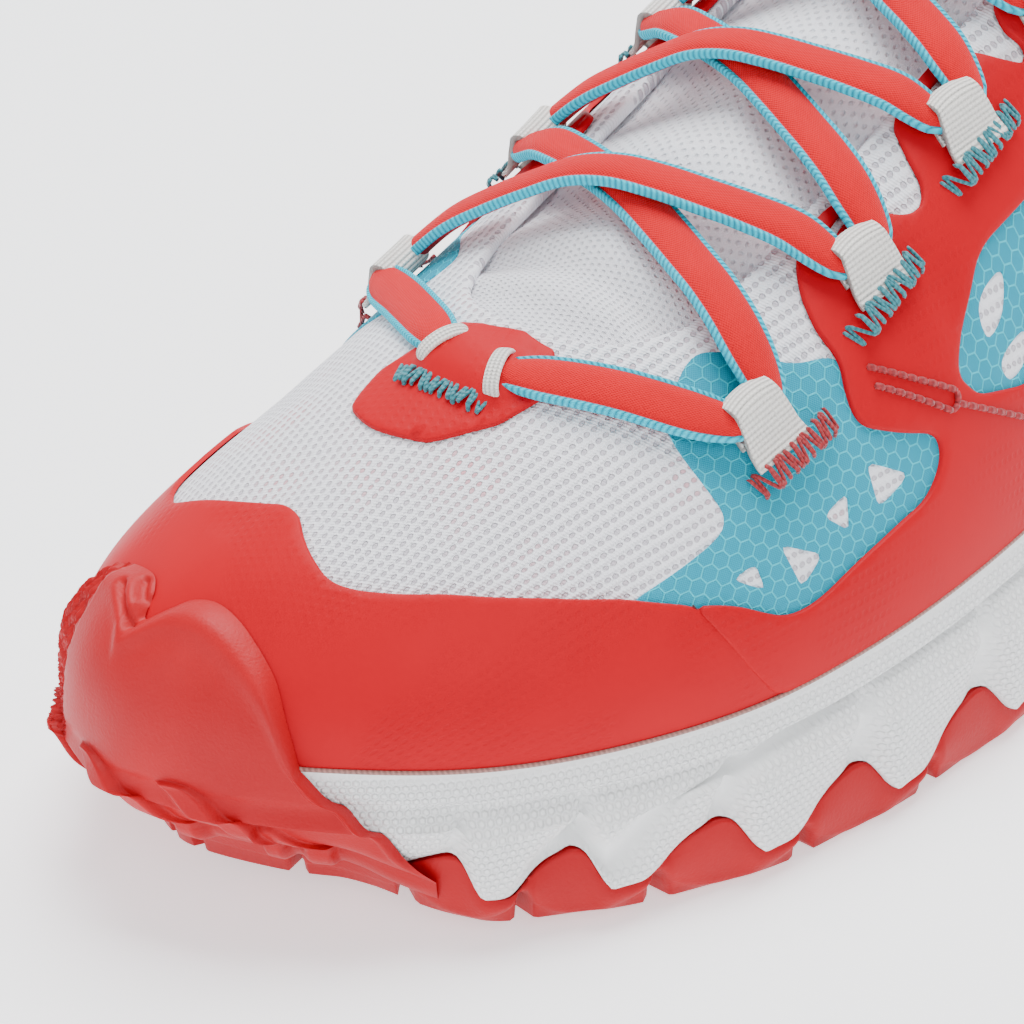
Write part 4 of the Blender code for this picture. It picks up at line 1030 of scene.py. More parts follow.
def laceSpan(start, end, ground, crossed):
    # a taut run between two loops over the tongue, and over the bar that it crosses
    startSeat, startAcross, startOut = start
    endSeat, endAcross, endOut = end
    leave = startSeat - startAcross * laceLook["leave"]
    arrive = endSeat + endAcross * laceLook["leave"]
    share = np.linspace(0, 1, 41)
    points = leave * (1 - share[:, None]) + arrive * share[:, None]
    floor = np.array([groundHeight(ground, point, laceLook["reach"]) for point in points])
    floor = floor + laceLook["thickness"] * 0.5 + laceLook["clear"] * 0.5
    if crossed is not None:
        away = np.linalg.norm(points[:, None, :2] - crossed[None, :, :2], axis=-1)
        height = np.where(away < laceLook["crossReach"], crossed[None, :, 2], -1.0).max(1)
        floor = np.maximum(floor, height + laceLook["thickness"] + laceLook["over"])
    floor[:3], floor[-3:] = points[:3, 2], points[-3:, 2]
    points[:, 2] = np.maximum(tautLine(share, floor), points[:, 2])
    fade = share[:, None]
    outs = unit(startOut * (1 - fade) + endOut * fade + np.array([0, 0, 1.6]) * np.sin(np.pi * fade))
    return np.concatenate([[startSeat], points[::4]]), np.concatenate([[startOut], outs[::4]])


def buildLace(look):
    # one lace: from the medial top loop down over the tongue, under the toe patch, and up to the
    # lateral top loop
    ground = groundPoints()
    last = len(loops) - 1
    spans = {}
    for number in range(last):
        for startSide in (False, True):
            start, end = laceSeat(number, startSide), laceSeat(number + 1, not startSide)
            crossed = spans[number, False][0] if startSide else None
            spans[number, startSide] = laceSpan(start, end, ground, crossed)
    halves = []
    for first in (True, False):
        path, outs = [], []
        for number in range(last):
            spanPath, spanOuts = spans[number, first if number % 2 == 0 else not first]
            path.append(spanPath)
            outs.append(spanOuts)
        finalSeat = laceSeat(last, first if last % 2 == 0 else not first)
        path.append([finalSeat[0], finalSeat[0] - finalSeat[1] * laceLook["end"]])
        outs.append([finalSeat[2], finalSeat[2]])
        halves.append((np.concatenate(path), np.concatenate(outs)))
    medialSeat, medialAcross, medialOut = laceSeat(0, True)
    lateralSeat, lateralAcross, lateralOut = laceSeat(0, False)
    patchOut = unit(wallOutward(15.2, 0.90))
    start, end = (bareWall(*tunnel[key]) for key in ("start", "end"))
    leave = medialSeat + medialAcross * laceLook["toeLeave"]
    arrive = lateralSeat + lateralAcross * laceLook["toeLeave"]
    swell = patchOut * laceLook["swell"]
    between = np.array([leave, leave * 0.62 + start * 0.38 + swell * 0.6,
                        leave * 0.25 + start * 0.75 + swell * 0.9, start + swell * 0.45,
                        (start + end) / 2 - swell * 0.3, end + swell * 0.45,
                        arrive * 0.22 + end * 0.78 + swell * 0.9,
                        arrive * 0.55 + end * 0.45 + swell * 0.9, arrive])
    betweenOut = np.array([medialOut, medialOut + patchOut] + [patchOut] * 5
                          + [lateralOut + patchOut, lateralOut])
    path = np.concatenate([halves[0][0][::-1], between, halves[1][0]])
    outs = unit(np.concatenate([halves[0][1][::-1], betweenOut, halves[1][1]]))
    dense = smoothThrough(np.concatenate([path, outs], axis=1), len(path) * 24)
    even, place = evenPath(dense, laceLook["step"])
    path, outs = even[:, :3], unit(even[:, 3:])
    seats = [laceSeat(number, side)[0] for number in range(len(loops)) for side in (True, False)]
    seats = np.array(seats + [start, end])
    away = np.linalg.norm(path[:, None] - seats[None], axis=-1).min(1)
    near = np.exp(-(away / laceLook["squeezeReach"]) ** 2)
    widths = laceLook["width"] * 0.5 * (1 - laceLook["squeeze"] * near)
    heights = laceLook["thickness"] * 0.5 * (1 + laceLook["puff"] * near)
    profile = laceProfile()
    points = sweep(path, outs, profile, widths, heights)
    rows, columns = points.shape[:2]
    placeMap = np.zeros(points.shape)
    placeMap[..., 0] = place[:, None]
    placeMap[..., 1] = profile[None, :, 0]
    replaced = tuple(f"lace_crossing_{number}" for number in (1, 2, 3, 4))
    meshObject("lace", points, gridFaces(rows, columns, False, True), look, {"lace": placeMap},
               points - path[:, None], replaced + ("lace_toe_lateral", "lace_toe_medial"))
    print("lace length", round(float(place[-1]), 3))
    return path, outs


# The webbing ends at the toe patch: reach and rise over the lace, half width and half wall, and the grid.
mouthLook = {"reach": 0.0034, "rise": 0.0019, "lift": 0.0001, "halfWidth": 0.00105, "halfWall": 0.0004,
             "clothLength": 0.004, "clothWidth": 0.00125, "rows": 25, "columns": 16}


def buildMouths(look, path, outs):
    # the two small webbing ends at the toe patch's mouths, bent over the lace
    along = unit(np.gradient(path, axis=0))
    for number, key in enumerate(("start", "end")):
        spot = np.linalg.norm(path - bareWall(*tunnel[key]), axis=1).argmin() + (4 * number - 2)
        out = outs[spot]
        side = unit(np.cross(along[spot], out))
        turn = np.linspace(-0.15, np.pi + 0.15, mouthLook["rows"])[:, None]
        height = np.sin(turn) * mouthLook["rise"] + mouthLook["lift"]
        band = path[spot] + side * np.cos(turn) * mouthLook["reach"] + out * height
        bandOut = unit(side * np.cos(turn) * 0.4 + out * np.sin(turn) + 0.001 * out)
        turnAround = np.linspace(0, 2 * np.pi, mouthLook["columns"], endpoint=False)
        profile = np.stack([np.cos(turnAround), np.sin(turnAround)], -1)
        profile = np.sign(profile) * np.abs(profile) ** 0.6
        sizes = (np.full(len(band), mouthLook[key]) for key in ("halfWidth", "halfWall"))
        points = sweep(band, bandOut, profile, *sizes)
        place = np.zeros(points.shape)
        place[..., 0] = turn * mouthLook["clothLength"]
        place[..., 1] = profile[None, :, 0] * mouthLook["clothWidth"]
        meshObject(f"patch_mouth_{number + 1}", points, gridFaces(*points.shape[:2], False, True), look,
                   {"cloth": place}, points - band[:, None])


def tubeMesh(path, outs, radius, sides=6):
    # a round thread along a path, with pointed ends
    angle = np.linspace(0, 2 * np.pi, sides, endpoint=False)
    profile = np.stack([np.cos(angle), np.sin(angle)], -1)
    size = np.full(len(path), radius)
    size[0] = size[-1] = radius * 0.1
    points = sweep(path, outs, profile, size, size)
    distance = lengthAlong(path)
    place = np.zeros(points.shape)
    place[..., 0] = distance[:, None]
    place[..., 1] = (angle / np.pi)[None, :]
    return points.reshape(-1, 3), gridFaces(len(path), sides, False, True), place.reshape(-1, 3)


def joinTubes(name, tubes, look):
    points, faces, places, base = [], [], [], 0
    for tubePoints, tubeFaces, tubePlace in tubes:
        points.append(tubePoints)
        faces.append(tubeFaces + base)
        places.append(tubePlace)
        base += len(tubePoints)
    meshObject(name, np.concatenate(points), np.concatenate(faces), look, {"lace": np.concatenate(places)})


# Threads, in metres: a bar tack's turns, its width and lift over a loop and over the patch, how low its
# ends lie; a chain stitch's link length, lift and bow; then the painted shadow line at the seam, the glue
# line and the colours.
stitchLook = {"turns": 13, "thread": 0.00027, "low": 0.0011, "width": 0.0034, "lift": 0.0031,
              "patchWidth": 0.0028, "patchLift": 0.0020, "link": 0.0020, "linkLift": 0.0009,
              "linkBow": 0.00035, "linkThread": 0.00046, "seamShadowLift": 0.00062, "seamShadowThread": 0.00014,
              "glueOut": 0.0009, "glueThread": 0.00032, "teal": (0.020, 0.235, 0.285),
              # seam: the near-black colour of the painted shadow line at the seam
              "red": (0.36, 0.001, 0.008), "seam": (0.055, 0.001, 0.003), "glue": (0.42, 0.20, 0.17)}


def tackThread(start, end, width, out, lift):
    # a bar tack: a zigzag across the way from start to end, low at its sides and ends
    along = end - start
    across = unit(np.cross(out, along)) * width * 0.5
    count = stitchLook["turns"] * 2 + 1
    share = np.linspace(0, 1, count)
    share = share + 0.02 * np.sin(np.arange(count) * 2.3)
    sign = np.where(np.arange(count) % 2 == 0, 1.0, -1.0) * (1 + 0.10 * np.sin(np.arange(count) * 1.7))
    corners = start + share[:, None] * along + sign[:, None] * across
    path = smoothThrough(corners, count * 8)
    side = np.abs(((path - start) @ unit(across)) / (width * 0.5))
    wide = np.abs(((path - (start + end) / 2) @ unit(along)) / (np.linalg.norm(along) * 0.5))
    low = stitchLook["low"]
    height = lift - low * smooth(0.80, 1.15, side) - (lift - low) * smooth(0.72, 0.92, wide)
    path = path + out * height[:, None]
    return tubeMesh(path, np.broadcast_to(out, path.shape), stitchLook["thread"])


# Bar tacks of the five rows: ends in u, v, and whether the thread is teal; then the patch's tack, the
# chain stitches and the painted shadow line at the seam behind the toe overlay.
tacks = ((10.86, 0.515, 10.16, 0.540, False), (9.88, 0.640, 9.22, 0.665, True),
         (8.86, 0.710, 8.18, 0.722, True), (7.92, 0.735, 7.34, 0.745, True),
         (6.94, 0.755, 6.38, 0.765, True))
patchTack = ((16.90, 0.858), (14.05, 0.850), (15.5, 0.86))
chains = (((9.80, 0.572), (9.42, 0.476), (9.02, 0.384), (9.06, 0.352), (9.40, 0.436), (9.76, 0.528)),
          ((9.04, 0.366), (8.70, 0.298), (8.30, 0.218)))
seamShadowLine = ((11.46, 0.330), (11.35, 0.280), (11.22, 0.215), (11.02, 0.10), (10.84, 0.002))


def buildStitches():
    teal = threadLook("teal thread", stitchLook["teal"])
    tealTubes, redTubes = [], []
    for startU, startV, endU, endV, isTeal in tacks:
        for _, mirrored in bothSides:
            u = np.array([startU, endU])
            u = fullRound - u if mirrored else u
            ends = onWall(u, np.array([startV, endV]), np.zeros(2))
            out = wallOutward(u.mean(), (startV + endV) / 2)
            tube = tackThread(*ends, stitchLook["width"], out, stitchLook["lift"])
            (tealTubes if isTeal else redTubes).append(tube)
    ends = onWall(*np.array(patchTack[:2]).T, np.zeros(2))
    tealTubes.append(tackThread(*ends, stitchLook["patchWidth"], wallOutward(*patchTack[2]),
                                stitchLook["patchLift"]))
    joinTubes("teal_stitches", tealTubes, teal)
    for line in chains:
        for _, mirrored in bothSides:
            u, v = evenPath(np.array(line) * flatScale, stitchLook["link"])[0].T / flatScale[:, None]
            u = fullRound - u if mirrored else u
            points, out = onWall(u, v, np.full(len(u), stitchLook["linkLift"])), wallOutward(u, v)
            for first, second, up in zip(points[:-1], points[1:], out[:-1]):
                share = np.linspace(0.02, 0.98, 9)[:, None]
                bow = up * stitchLook["linkBow"] * np.sin(np.pi * share)
                link = first * (1 - share) + second * share + bow
                redTubes.append(tubeMesh(link, np.broadcast_to(up, link.shape), stitchLook["linkThread"]))
    # a thin near-black tube along the seam behind the toe overlay: a painted shadow line
    seamShadows = []
    for _, mirrored in bothSides:
        u, v = smoothThrough(seamShadowLine, 60).T
        u = fullRound - u if mirrored else u
        line = onWall(u, v, np.full(len(u), stitchLook["seamShadowLift"]))
        seamShadows.append(tubeMesh(line, wallOutward(u, v), stitchLook["seamShadowThread"]))
    joinTubes("seam_shadow_lines", seamShadows, threadLook("seam shade", stitchLook["seam"]))
    u = np.linspace(0, fullRound, 900)
    line = bareWall(u, 0.0) + atHeight(soleOutward(u), 0.0) * stitchLook["glueOut"]
    glue = tubeMesh(line, wallOutward(u, 0.0), stitchLook["glueThread"])
    joinTubes("glue_line", [glue], threadLook("glue", stitchLook["glue"]))
    joinTubes("red_stitches", redTubes, threadLook("film red thread", stitchLook["red"]))


# Middles of the sole's side lobes, as shares of the way round its edge from the toe tip to the heel tip,
# and the arch between two lobes as (share of the way, height).
lobePlaces = (0.0, 0.055, 0.108, 0.152, 0.202, 0.267, 0.334, 0.407, 0.481, 0.555, 0.629, 0.703, 0.777,
              0.851, 0.925, 1.0)
archCurve = ((0.0, 0.0), (0.10, 0.0), (0.19, 0.05), (0.28, 0.24), (0.40, 0.58), (0.52, 0.82), (0.64, 0.96),
             (0.73, 1.0), (0.80, 0.92), (0.86, 0.62), (0.91, 0.28), (0.96, 0.05), (1.0, 0.0))
# Side of the midsole from its lower edge up: inset, drop from the rim, share of the drop to the lobe's
# edge, and the shares of the toe's recess and rounding.
sideColumns = np.array((
    (0.0005, 0.0000, 1.00, 1.0, 0.80), (0.0002, 0.0000, 0.78, 1.0, 0.35), (0.0012, 0.0070, 0.10, 1.0, 0.00),
    (0.0036, 0.0050, 0.00, 0.1, 0.00), (0.0030, 0.0036, 0.00, 0.3, 0.00), (0.0040, 0.0000, 0.00, 0.0, 0.00),
))


def solePlaces(count):
    # columns round the sole at even steps of its edge: u, share from toe tip to heel tip, share
    # between two
    # lobes, distance from the toe tip
    fine = np.linspace(halfRound, 0, 3201)
    girth = lengthAlong(soleEdge(fine))
    share = np.linspace(0, 1, count // 2 + 1)
    u = np.interp(share * girth[-1], girth, fine)
    number = np.clip(np.searchsorted(lobePlaces, share, side="right") - 1, 0, len(lobePlaces) - 2)
    low, high = np.array(lobePlaces)[number], np.array(lobePlaces)[number + 1]
    between = (share - low) / (high - low)
    rows = (u, share, between, share * girth[-1])
    mirror = (fullRound - u, share, between, -share * girth[-1])
    return [np.concatenate([a, b[-2:0:-1]]) for a, b in zip(rows, mirror)]


def archOf(between):
    # height of the arch, 0 to 1, at a share of the way between two lobes
    dense = smoothThrough(archCurve, 400)
    return np.clip(np.interp(between, dense[:, 0], dense[:, 1]), 0, 1)


def lobeEdgeHeight(u, arch):
    toe = toeShare(u)
    return soleLook["lobeFoot"] + soleLook["lobeRise"] * arch * (1 - toe) + 0.003 * toe


def soleSide(u, arch, h):
    # a point of the midsole's side at h from its wavy edge (0) to the rim (1)
    columns = smoothThrough(sideColumns, 201)
    inset, drop, share, recess, rounding = (np.interp(h, np.linspace(0, 1, 201), c) for c in columns.T)
    toe = toeShare(u)
    back = inset + (0.0018 + shoe["gap"]) * recess * toe + soleLook["toeRounding"] * rounding * toe
    back = back + soleLook["lobeRecess"] * arch * (1 - toe) * np.clip(share - 0.3, 0, None) / 0.7
    low = lobeEdgeHeight(u, arch) + spring(soleEdge(u)[..., 0])
    rim = rimHeight(u) - shoe["gap"] * 0.3
    z = rim - drop - (rim - drop - low) * share
    return atHeight(insetEdge(u, back), z)


def spine(u, top=False):
    # the sole's middle line beside u, or the rim's height on it; it stops short of the toe and heel tips
    limit = shoe["length"] * 0.5 - shoe["ballWidth"] * 0.36
    fine = np.linspace(0, halfRound, 801)
    line = 0.5 * (soleEdge(fine) + soleEdge(fullRound - fine))
    x = np.clip(0.5 * (soleEdge(u) + soleEdge(fullRound - u))[..., 0], -limit, limit)
    if top:
        return np.interp(x, line[:, 0], rimHeight(fine))
    return np.stack([x, np.interp(x, line[:, 0], line[:, 1])], -1)


def towardSpine(u, share, inset=0.0):
    edge = insetEdge(u, np.broadcast_to(inset, np.shape(u)))
    middle = spine(u)
    return middle + (edge - middle) * share


def betweenGap(value, middle, width, power=2):
    # a repeating soft bump: exp(-(distance to the middle, wrapped round 1 / width)^power)
    return np.exp(-(((value - middle + 0.5) % 1.0 - 0.5) / width) ** power)


# The groove under the rim: share of the way round, height on the side, half width.
flutePlaces = ((0.0, 0.165, 0.205, 0.245, 0.285, 0.33, 1.0), (0.0, 0.05, 0.22, 0.42, 0.56, 0.62, 0.62))
fluteWidths = ((0.0, 0.17, 0.24, 0.32, 1.0), (0.09, 0.09, 0.055, 0.030, 0.027))


def buildMidsole(look):
    # side rows, a rounded lower lip, then the base and the top in to the middle line
    u, share, between, girth = solePlaces(soleLook["columns"])
    arch = archOf(between)
    toe = toeShare(u)
    h = np.linspace(0, 1, soleLook["rows"])[:, None]
    side = soleSide(u[None, :], arch[None, :], h)
    out = atHeight(soleOutward(u), 0.0)[None]
    lean = between[None, :] - 0.30 * h
    trough = betweenGap(lean, 0.70, 0.070) * smooth(0.72, 0.30, h) * smooth(-0.05, 0.12, h)
    ridge = betweenGap(lean, 0.90, 0.12) * smooth(0.66, 0.25, h)
    live = (1 - smooth(0.0, 0.5, toe)) * smooth(0.10, 0.17, share)
    flutePlace, fluteWidth = np.interp(share, *flutePlaces), np.interp(share, *fluteWidths)
    flute = np.exp(-((h - flutePlace) / fluteWidth) ** 2) * smooth(0.150, 0.185, share)
    depth = (soleLook["trough"] * trough - soleLook["ridge"] * ridge) * live + soleLook["flute"] * flute
    side = side - out * depth[..., None]
    lip = side[:1] - out * 0.0012 - np.array([0, 0, 0.0002])
    lipIn = side[:1] - out * 0.0030 + np.array([0, 0, 0.0006])
    baseFlat = towardSpine(u, soleLook["flatShare"], soleLook["toeRounding"] * 0.5)
    middle = spine(u)
    baseHigh = soleLook["lugDepth"] + soleLook["base"]
    base = atHeight(baseFlat, baseHigh + spring(baseFlat[..., 0]))[None]
    floor = atHeight(middle, baseHigh + spring(middle[..., 0]))[None]
    rimIn = atHeight(insetEdge(u, 0.0062), rimHeight(u) + 0.0001)[None]
    crown = atHeight(middle, spine(u, top=True) - shoe["gap"])[None]
    points = np.concatenate([floor, base, lipIn, lip, side, rimIn, crown])
    place = np.zeros(points.shape)
    place[..., 0] = girth[None, :]
    place[..., 1] = points[..., 2]
    place[4:4 + len(side), :, 2] = np.clip(trough * 1.2 * live + flute * 1.1 + smooth(0.90, 0.97, h), 0, 1)
    outward = np.array(np.broadcast_to(out, points.shape))
    outward[:4] = 0
    meshObject("midsole_foam", points, gridFaces(len(points), len(u), False, True), look, {"foam": place},
               outward, ("midsole",))


def buildOutsole(look):
    # red sole: a skirt up into the arches, rounded side feet, then rows of lugs to the middle line
    u, share, between, girth = solePlaces(soleLook["columns"])
    arch = archOf(between)
    toe = toeShare(u)
    lift = spring(soleEdge(u)[..., 0])
    notch = betweenGap(between, 0.29, 0.058, 4)
    top = lobeEdgeHeight(u, arch) + lift
    inset = 0.0008 + soleLook["lobeRecess"] * arch * (1 - toe) * 0.8
    inset = inset * (1 - toe) + toe * (soleLook["toeRounding"] + 0.0006)
    footInset = inset + 0.0004 - 0.0010 * arch * (1 - toe)
    footInset = footInset + toe * (soleLook["toeRounding"] * 0.30 + 0.0020 * notch)
    acrossLug = np.abs(2 * ((between - 0.29) % 1.0) - 1)
    corner = 0.0034 * acrossLug ** 2.6 * (1 - notch) * (1 - toe)
    footZ = lift + soleLook["lugDepth"] * 0.80 * notch + corner
    rows = [atHeight(insetEdge(u, inset + 0.0032), top - 0.0002),
            atHeight(insetEdge(u, inset + 0.0003), top - 0.0004)]
    for t in np.linspace(0, 1, 14):
        z = (top - 0.0002) * (1 - t) + (footZ + 0.0006) * t
        bulge = -0.0006 * np.sin(np.pi * t) * (1 - toe)
        rows.append(atHeight(insetEdge(u, inset * (1 - t) + footInset * t + bulge + 0.0009 * notch), z))
    rows.append(atHeight(insetEdge(u, footInset + 0.0004 + 0.0009 * notch), footZ + 0.0002))
    middle = spine(u)
    foot = insetEdge(u, footInset + 0.0009 + 0.0009 * notch)
    for t in np.linspace(1, 0, 46):
        flat = middle + (foot - middle) * t
        edgeLug = (1 - notch) * smooth(0.70, 0.73, t)
        turned = np.where(np.arange(len(u)) > len(u) // 2, 1.57, 0)
        rank = np.sin(girth / 0.0185 * halfTurn + t * 9.0 + turned)
        innerLug = smooth(-0.15, 0.15, rank) * (smooth(0.18, 0.22, t) * smooth(0.66, 0.62, t))
        lug = np.maximum(edgeLug, innerLug)
        rows.append(atHeight(flat, spring(flat[..., 0]) + soleLook["lugDepth"] * (1 - lug) * 0.92))
    points = np.array(rows)
    out = atHeight(soleOutward(u), 0.0)[None]
    outward = np.array(np.broadcast_to(out, points.shape))
    outward[17:] = (0, 0, -1)
    outward[:1] = 0
    meshObject("outsole_rubber", points, gridFaces(len(points), len(u), False, True), look, None, outward,
               ("outsole",))


# Toe bumper: place round the shoe and height of its top, 0 to 1 up the sole's side, then 1 + share up the
# upper; its ribs and slots as lines from place and height to place and height; its sizes in metres.
bumperTop = ((13.50, 0.06), (13.66, 0.16), (13.82, 0.28), (14.04, 0.50), (14.25, 0.78), (14.44, 0.97),
             (14.53, 1.09), (14.74, 1.23), (15.08, 1.32), (15.34, 1.365), (15.57, 1.382), (15.76, 1.372),
             (15.88, 1.345), (15.98, 1.318), (16.09, 1.292), (16.17, 1.318), (16.26, 1.352),
             (16.46, 1.372), (16.85, 1.345), (17.10, 1.290), (17.25, 1.20), (17.60, 1.17), (18.10, 1.15),
             (18.40, 1.08), (18.60, 0.96), (18.90, 0.66), (19.20, 0.30))
ribLines = ((17.30, 0.62, 16.60, 0.03), (16.25, 0.66, 15.50, 0.03), (15.42, 0.66, 14.80, 0.03),
            (14.75, 0.18, 14.40, 0.02))
slotLines = ((16.50, 1.318, 16.12, 1.262), (16.40, 1.352, 16.24, 1.322))
bumperLook = {"wall": 0.0017, "rib": 0.0024, "slot": 0.0011, "slotWidth": 0.0006, "rough": 0.0006,
              "wave": 0.00016, "roll": 0.0005, "rollPlace": 0.0021, "rollWidth": 0.0009, "lift": 0.0002,
              "placeMetres": 0.012, "ribMetres": 0.020, "slotMetres": 0.075, "topMetres": 0.030,
              "under": 0.0060, "drop": 0.0052, "ground": 0.0012}


def awayFromLine(gridU, height, line, metresU, metresH):
    # distance in metres to a short line on the bumper, and the share of the way along it
    startU, startH, endU, endH = line
    lineU, lineH = (endU - startU) * metresU, (endH - startH) * metresH
    fromU, fromH = (gridU - startU) * metresU, (height - startH) * metresH
    t = np.clip((fromU * lineU + fromH * lineH) / (lineU ** 2 + lineH ** 2), 0, 1)
    return np.hypot(fromU - t * lineU, fromH - t * lineH), t


def buildBumper(look):
    # a rubber cap over the sole's side and the film: its thickness rounds down to nothing at the top edge
    tops = np.array(bumperTop)
    u = np.linspace(tops[0, 0], tops[-1, 0], 460)
    dense = smoothThrough(tops, 900)
    order = np.maximum.accumulate(dense[:, 0])
    top = np.interp(u, order, dense[:, 1])
    rise = 1 - (1 - np.linspace(0, 1, 130)) ** 1.15
    height = rise[:, None] * top[None, :]
    gridU = np.broadcast_to(u, height.shape)
    side = soleSide(gridU, np.zeros(height.shape), np.clip(height, 0, 1))
    v = np.clip(height - 1, 0, None)
    past = smooth(0.88, 1.10, height)
    wall = onWall(gridU, v, np.full(height.shape, 0.0008))
    base = np.where((height > 1.0)[..., None], wall, side)
    near = (smooth(0.45, 0.70, height) * smooth(1.30, 1.15, height))[1:-1, :, None]
    for _ in range(60):
        base[1:-1] += near * 0.5 * (0.5 * (base[:-2] + base[2:]) - base[1:-1])
    outward = unit(unit(atHeight(soleOutward(gridU), 0.22)) * (1 - past[..., None])
                   + wallOutward(gridU, v) * past[..., None])
    metres = (top[None, :] - height) * bumperLook["topMetres"]
    ends = smooth(0.0, 0.0016, metres) ** 0.5 * smooth(tops[0, 0], tops[0, 0] + 0.50, gridU) \
        * smooth(tops[-1, 0], tops[-1, 0] - 0.10, gridU)
    ribs, slots = 0.0, 0.0
    for line in ribLines:
        away, t = awayFromLine(gridU, height, line, bumperLook["placeMetres"], bumperLook["ribMetres"])
        ribs = ribs + smooth(0.0019, 0.0009, away) * (0.40 + 0.60 * t)
    for line in slotLines:
        away, _ = awayFromLine(gridU, height, line, bumperLook["placeMetres"], bumperLook["slotMetres"])
        slots = slots + np.exp(-(away / bumperLook["slotWidth"]) ** 2)
    rough = smooth(16.72, 16.86, gridU) * smooth(18.6, 18.3, gridU) * smooth(0.35, 0.5, height)
    jagged = np.sin(height * 95.0 + 3 * np.sin(gridU * 31.0)) * np.sin(gridU * 60.0)
    jagged = bumperLook["rough"] * rough * jagged
    wave = bumperLook["wave"] * np.sin(gridU * 7.0 + height * 5.0)
    fromRoll = (metres - bumperLook["rollPlace"]) / bumperLook["rollWidth"]
    roll = bumperLook["roll"] * np.exp(-fromRoll ** 2) * (1 - rough)
    offset = (bumperLook["wall"] + wave + roll) * ends * (1 - 0.4 * rough)
    offset = offset + bumperLook["rib"] * ribs - bumperLook["slot"] * slots + jagged + bumperLook["lift"]
    outer = base + outward * offset[..., None]
    low = outer[0]
    inward = -atHeight(soleOutward(u), 0.0)
    drop = np.minimum(low[:, 2] - bumperLook["ground"],
                      bumperLook["drop"])[:, None] * np.array([0, 0, -1.0])
    under = [low + drop * np.cos(turn) + inward * bumperLook["under"] * (1 - np.sin(turn))
             for turn in np.linspace(0, halfTurn / 2, 8)[:-1]]
    points = np.concatenate([np.array(under), outer])
    allOut = np.concatenate([np.broadcast_to(outward[0], (len(under),) + outward[0].shape), outward])
    meshObject("bumper_rubber", points, gridFaces(len(points), len(u)), look, None, allOut)


def dressInsole(look):
    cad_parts["insole"].data.materials.clear()
    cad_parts["insole"].data.materials.append(look)


# The view of the photo: degrees, metres and the lens in millimetres.
cameraView = {"azimuth": 47.0, "elevation": 30.2, "roll": -4.1, "distance": 0.5,
              "target": (0.0825, 0.00475, 0.040), "lens": 137.16}
# The floor: its reach in front and half as far behind, the bend's radius, its height and half its width.
floorSize = {"depth": 6.0, "back": 2.4, "bend": 1.5, "height": 6.0, "halfWidth": 7.5}
# Lights: name, place, the point that it looks at, side and watts; then the room's colour and strength.
lightBoxes = (("top light", (-0.25, -0.10, 1.10), (0.04, 0.0, 0.03), 0.8, 24.0),
              ("side light", (0.55, 0.95, 0.75), (0.06, 0.0, 0.03), 0.8, 7.0),
              ("fill light", (1.10, -0.25, 0.55), (0.06, 0.0, 0.03), 0.8, 5.0))
roomLight = {"color": (0.95, 0.97, 1.0, 1), "strength": 0.42}


def buildStage():
    # a plain pale floor that curves up far behind the shoe
    along = np.linspace(-floorSize["halfWidth"], floorSize["halfWidth"], 3)
    bend = floorSize["bend"]
    profile = [(-floorSize["depth"], 0.0)]
    profile += [(floorSize["back"] + np.sin(a) * bend, bend - np.cos(a) * bend)
                for a in np.linspace(0, np.pi / 2, 24)]
    profile = np.array(profile + [(floorSize["back"] + bend, floorSize["height"])])
    azimuth = np.radians(cameraView["azimuth"])
    away = -np.array([np.cos(azimuth), np.sin(azimuth), 0.0])
    side = np.array([-np.sin(azimuth), np.cos(azimuth), 0.0])
    points = (profile[:, :1, None] * away + profile[:, 1:, None] * np.array([0, 0, 1.0])
              + along[None, :, None] * side)
    mesh = bpy.data.meshes.new("floor")
    mesh.from_pydata(points.reshape(-1, 3).tolist(), [],
                     gridFaces(len(profile), len(along))[:, ::-1].tolist())
    mesh.shade_smooth()
    mesh.materials.append(floorLook())
    floor = bpy.data.objects.new("floor", mesh)
    bpy.context.scene.collection.objects.link(floor)


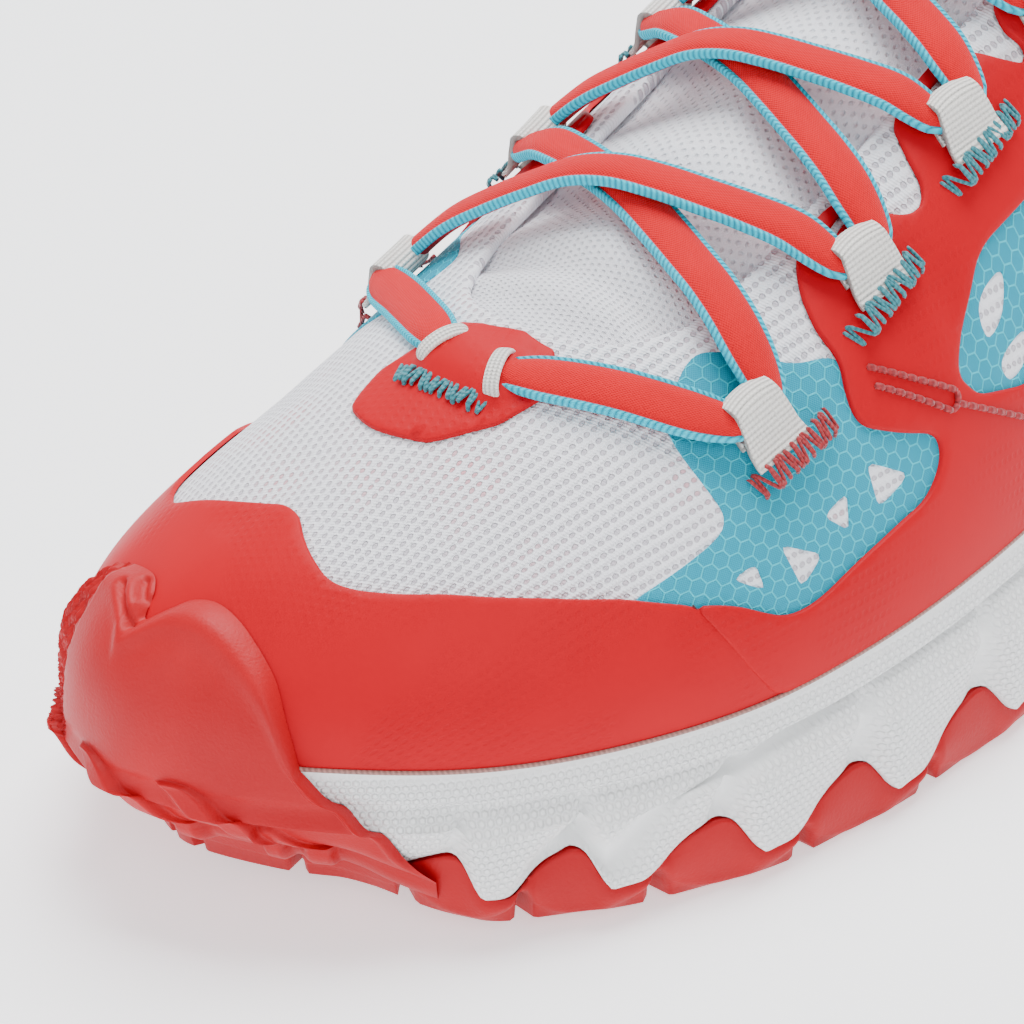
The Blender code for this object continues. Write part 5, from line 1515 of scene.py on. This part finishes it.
def buildLight():
    # square boxes: a large one above and behind, one at the camera's side and a weak fill, in a pale room
    for name, place, aim, size, power in lightBoxes:
        light = bpy.data.lights.new(name, "AREA")
        light.shape = "RECTANGLE"
        light.size = light.size_y = size
        light.energy = power
        made = bpy.data.objects.new(name, light)
        back = unit(np.array(place) - np.array(aim))
        right = unit(np.cross((0, 0, 1.0), back))
        turned = Matrix(np.column_stack([right, np.cross(back, right), back]).tolist()).to_4x4()
        made.matrix_world = Matrix.Translation(place) @ turned
        bpy.context.scene.collection.objects.link(made)
    world = bpy.data.worlds.new("room")
    world.use_nodes = True
    background = world.node_tree.nodes["Background"]
    background.inputs["Color"].default_value = roomLight["color"]
    background.inputs["Strength"].default_value = roomLight["strength"]
    bpy.context.scene.world = world


def buildCamera():
    # back = (cos az cos el, sin az cos el, sin el); the camera is rolled about it
    azimuth, elevation, roll = (np.radians(cameraView[key]) for key in ("azimuth", "elevation", "roll"))
    back = np.array([np.cos(azimuth) * np.cos(elevation), np.sin(azimuth) * np.cos(elevation),
                     np.sin(elevation)])
    right = np.array([-np.sin(azimuth), np.cos(azimuth), 0.0])
    up = np.cross(back, right)
    turnedRight = np.cos(roll) * right + np.sin(roll) * up
    turnedUp = -np.sin(roll) * right + np.cos(roll) * up
    camera = bpy.data.cameras.new("camera")
    camera.lens = cameraView["lens"]
    camera.sensor_width = 36.0
    camera.clip_start, camera.clip_end = 0.01, 50.0
    made = bpy.data.objects.new("camera", camera)
    eye = np.array(cameraView["target"]) + cameraView["distance"] * back
    made.matrix_world = (Matrix.Translation(eye.tolist())
                         @ Matrix(np.column_stack([turnedRight, turnedUp, back]).tolist()).to_4x4())
    bpy.context.scene.collection.objects.link(made)
    bpy.context.scene.camera = made


def main():
    buildUpper(knitLook())
    print("upper done")
    buildPanels()
    print("panels done")
    buildTongue()
    print("tongue done")
    webbing = webbingCloth()
    buildLoops(webbing)
    print("loops done")
    path, outs = buildLace(laceCloth())
    buildMouths(webbing, path, outs)
    print("lace done")
    buildStitches()
    print("stitches done")
    buildMidsole(foamLook())
    rubber = rubberCloth()
    buildOutsole(rubber)
    buildBumper(rubber)
    dressInsole(linerLook())
    print("sole done")
    buildStage()
    buildLight()
    buildCamera()
    print("stage done")


main()
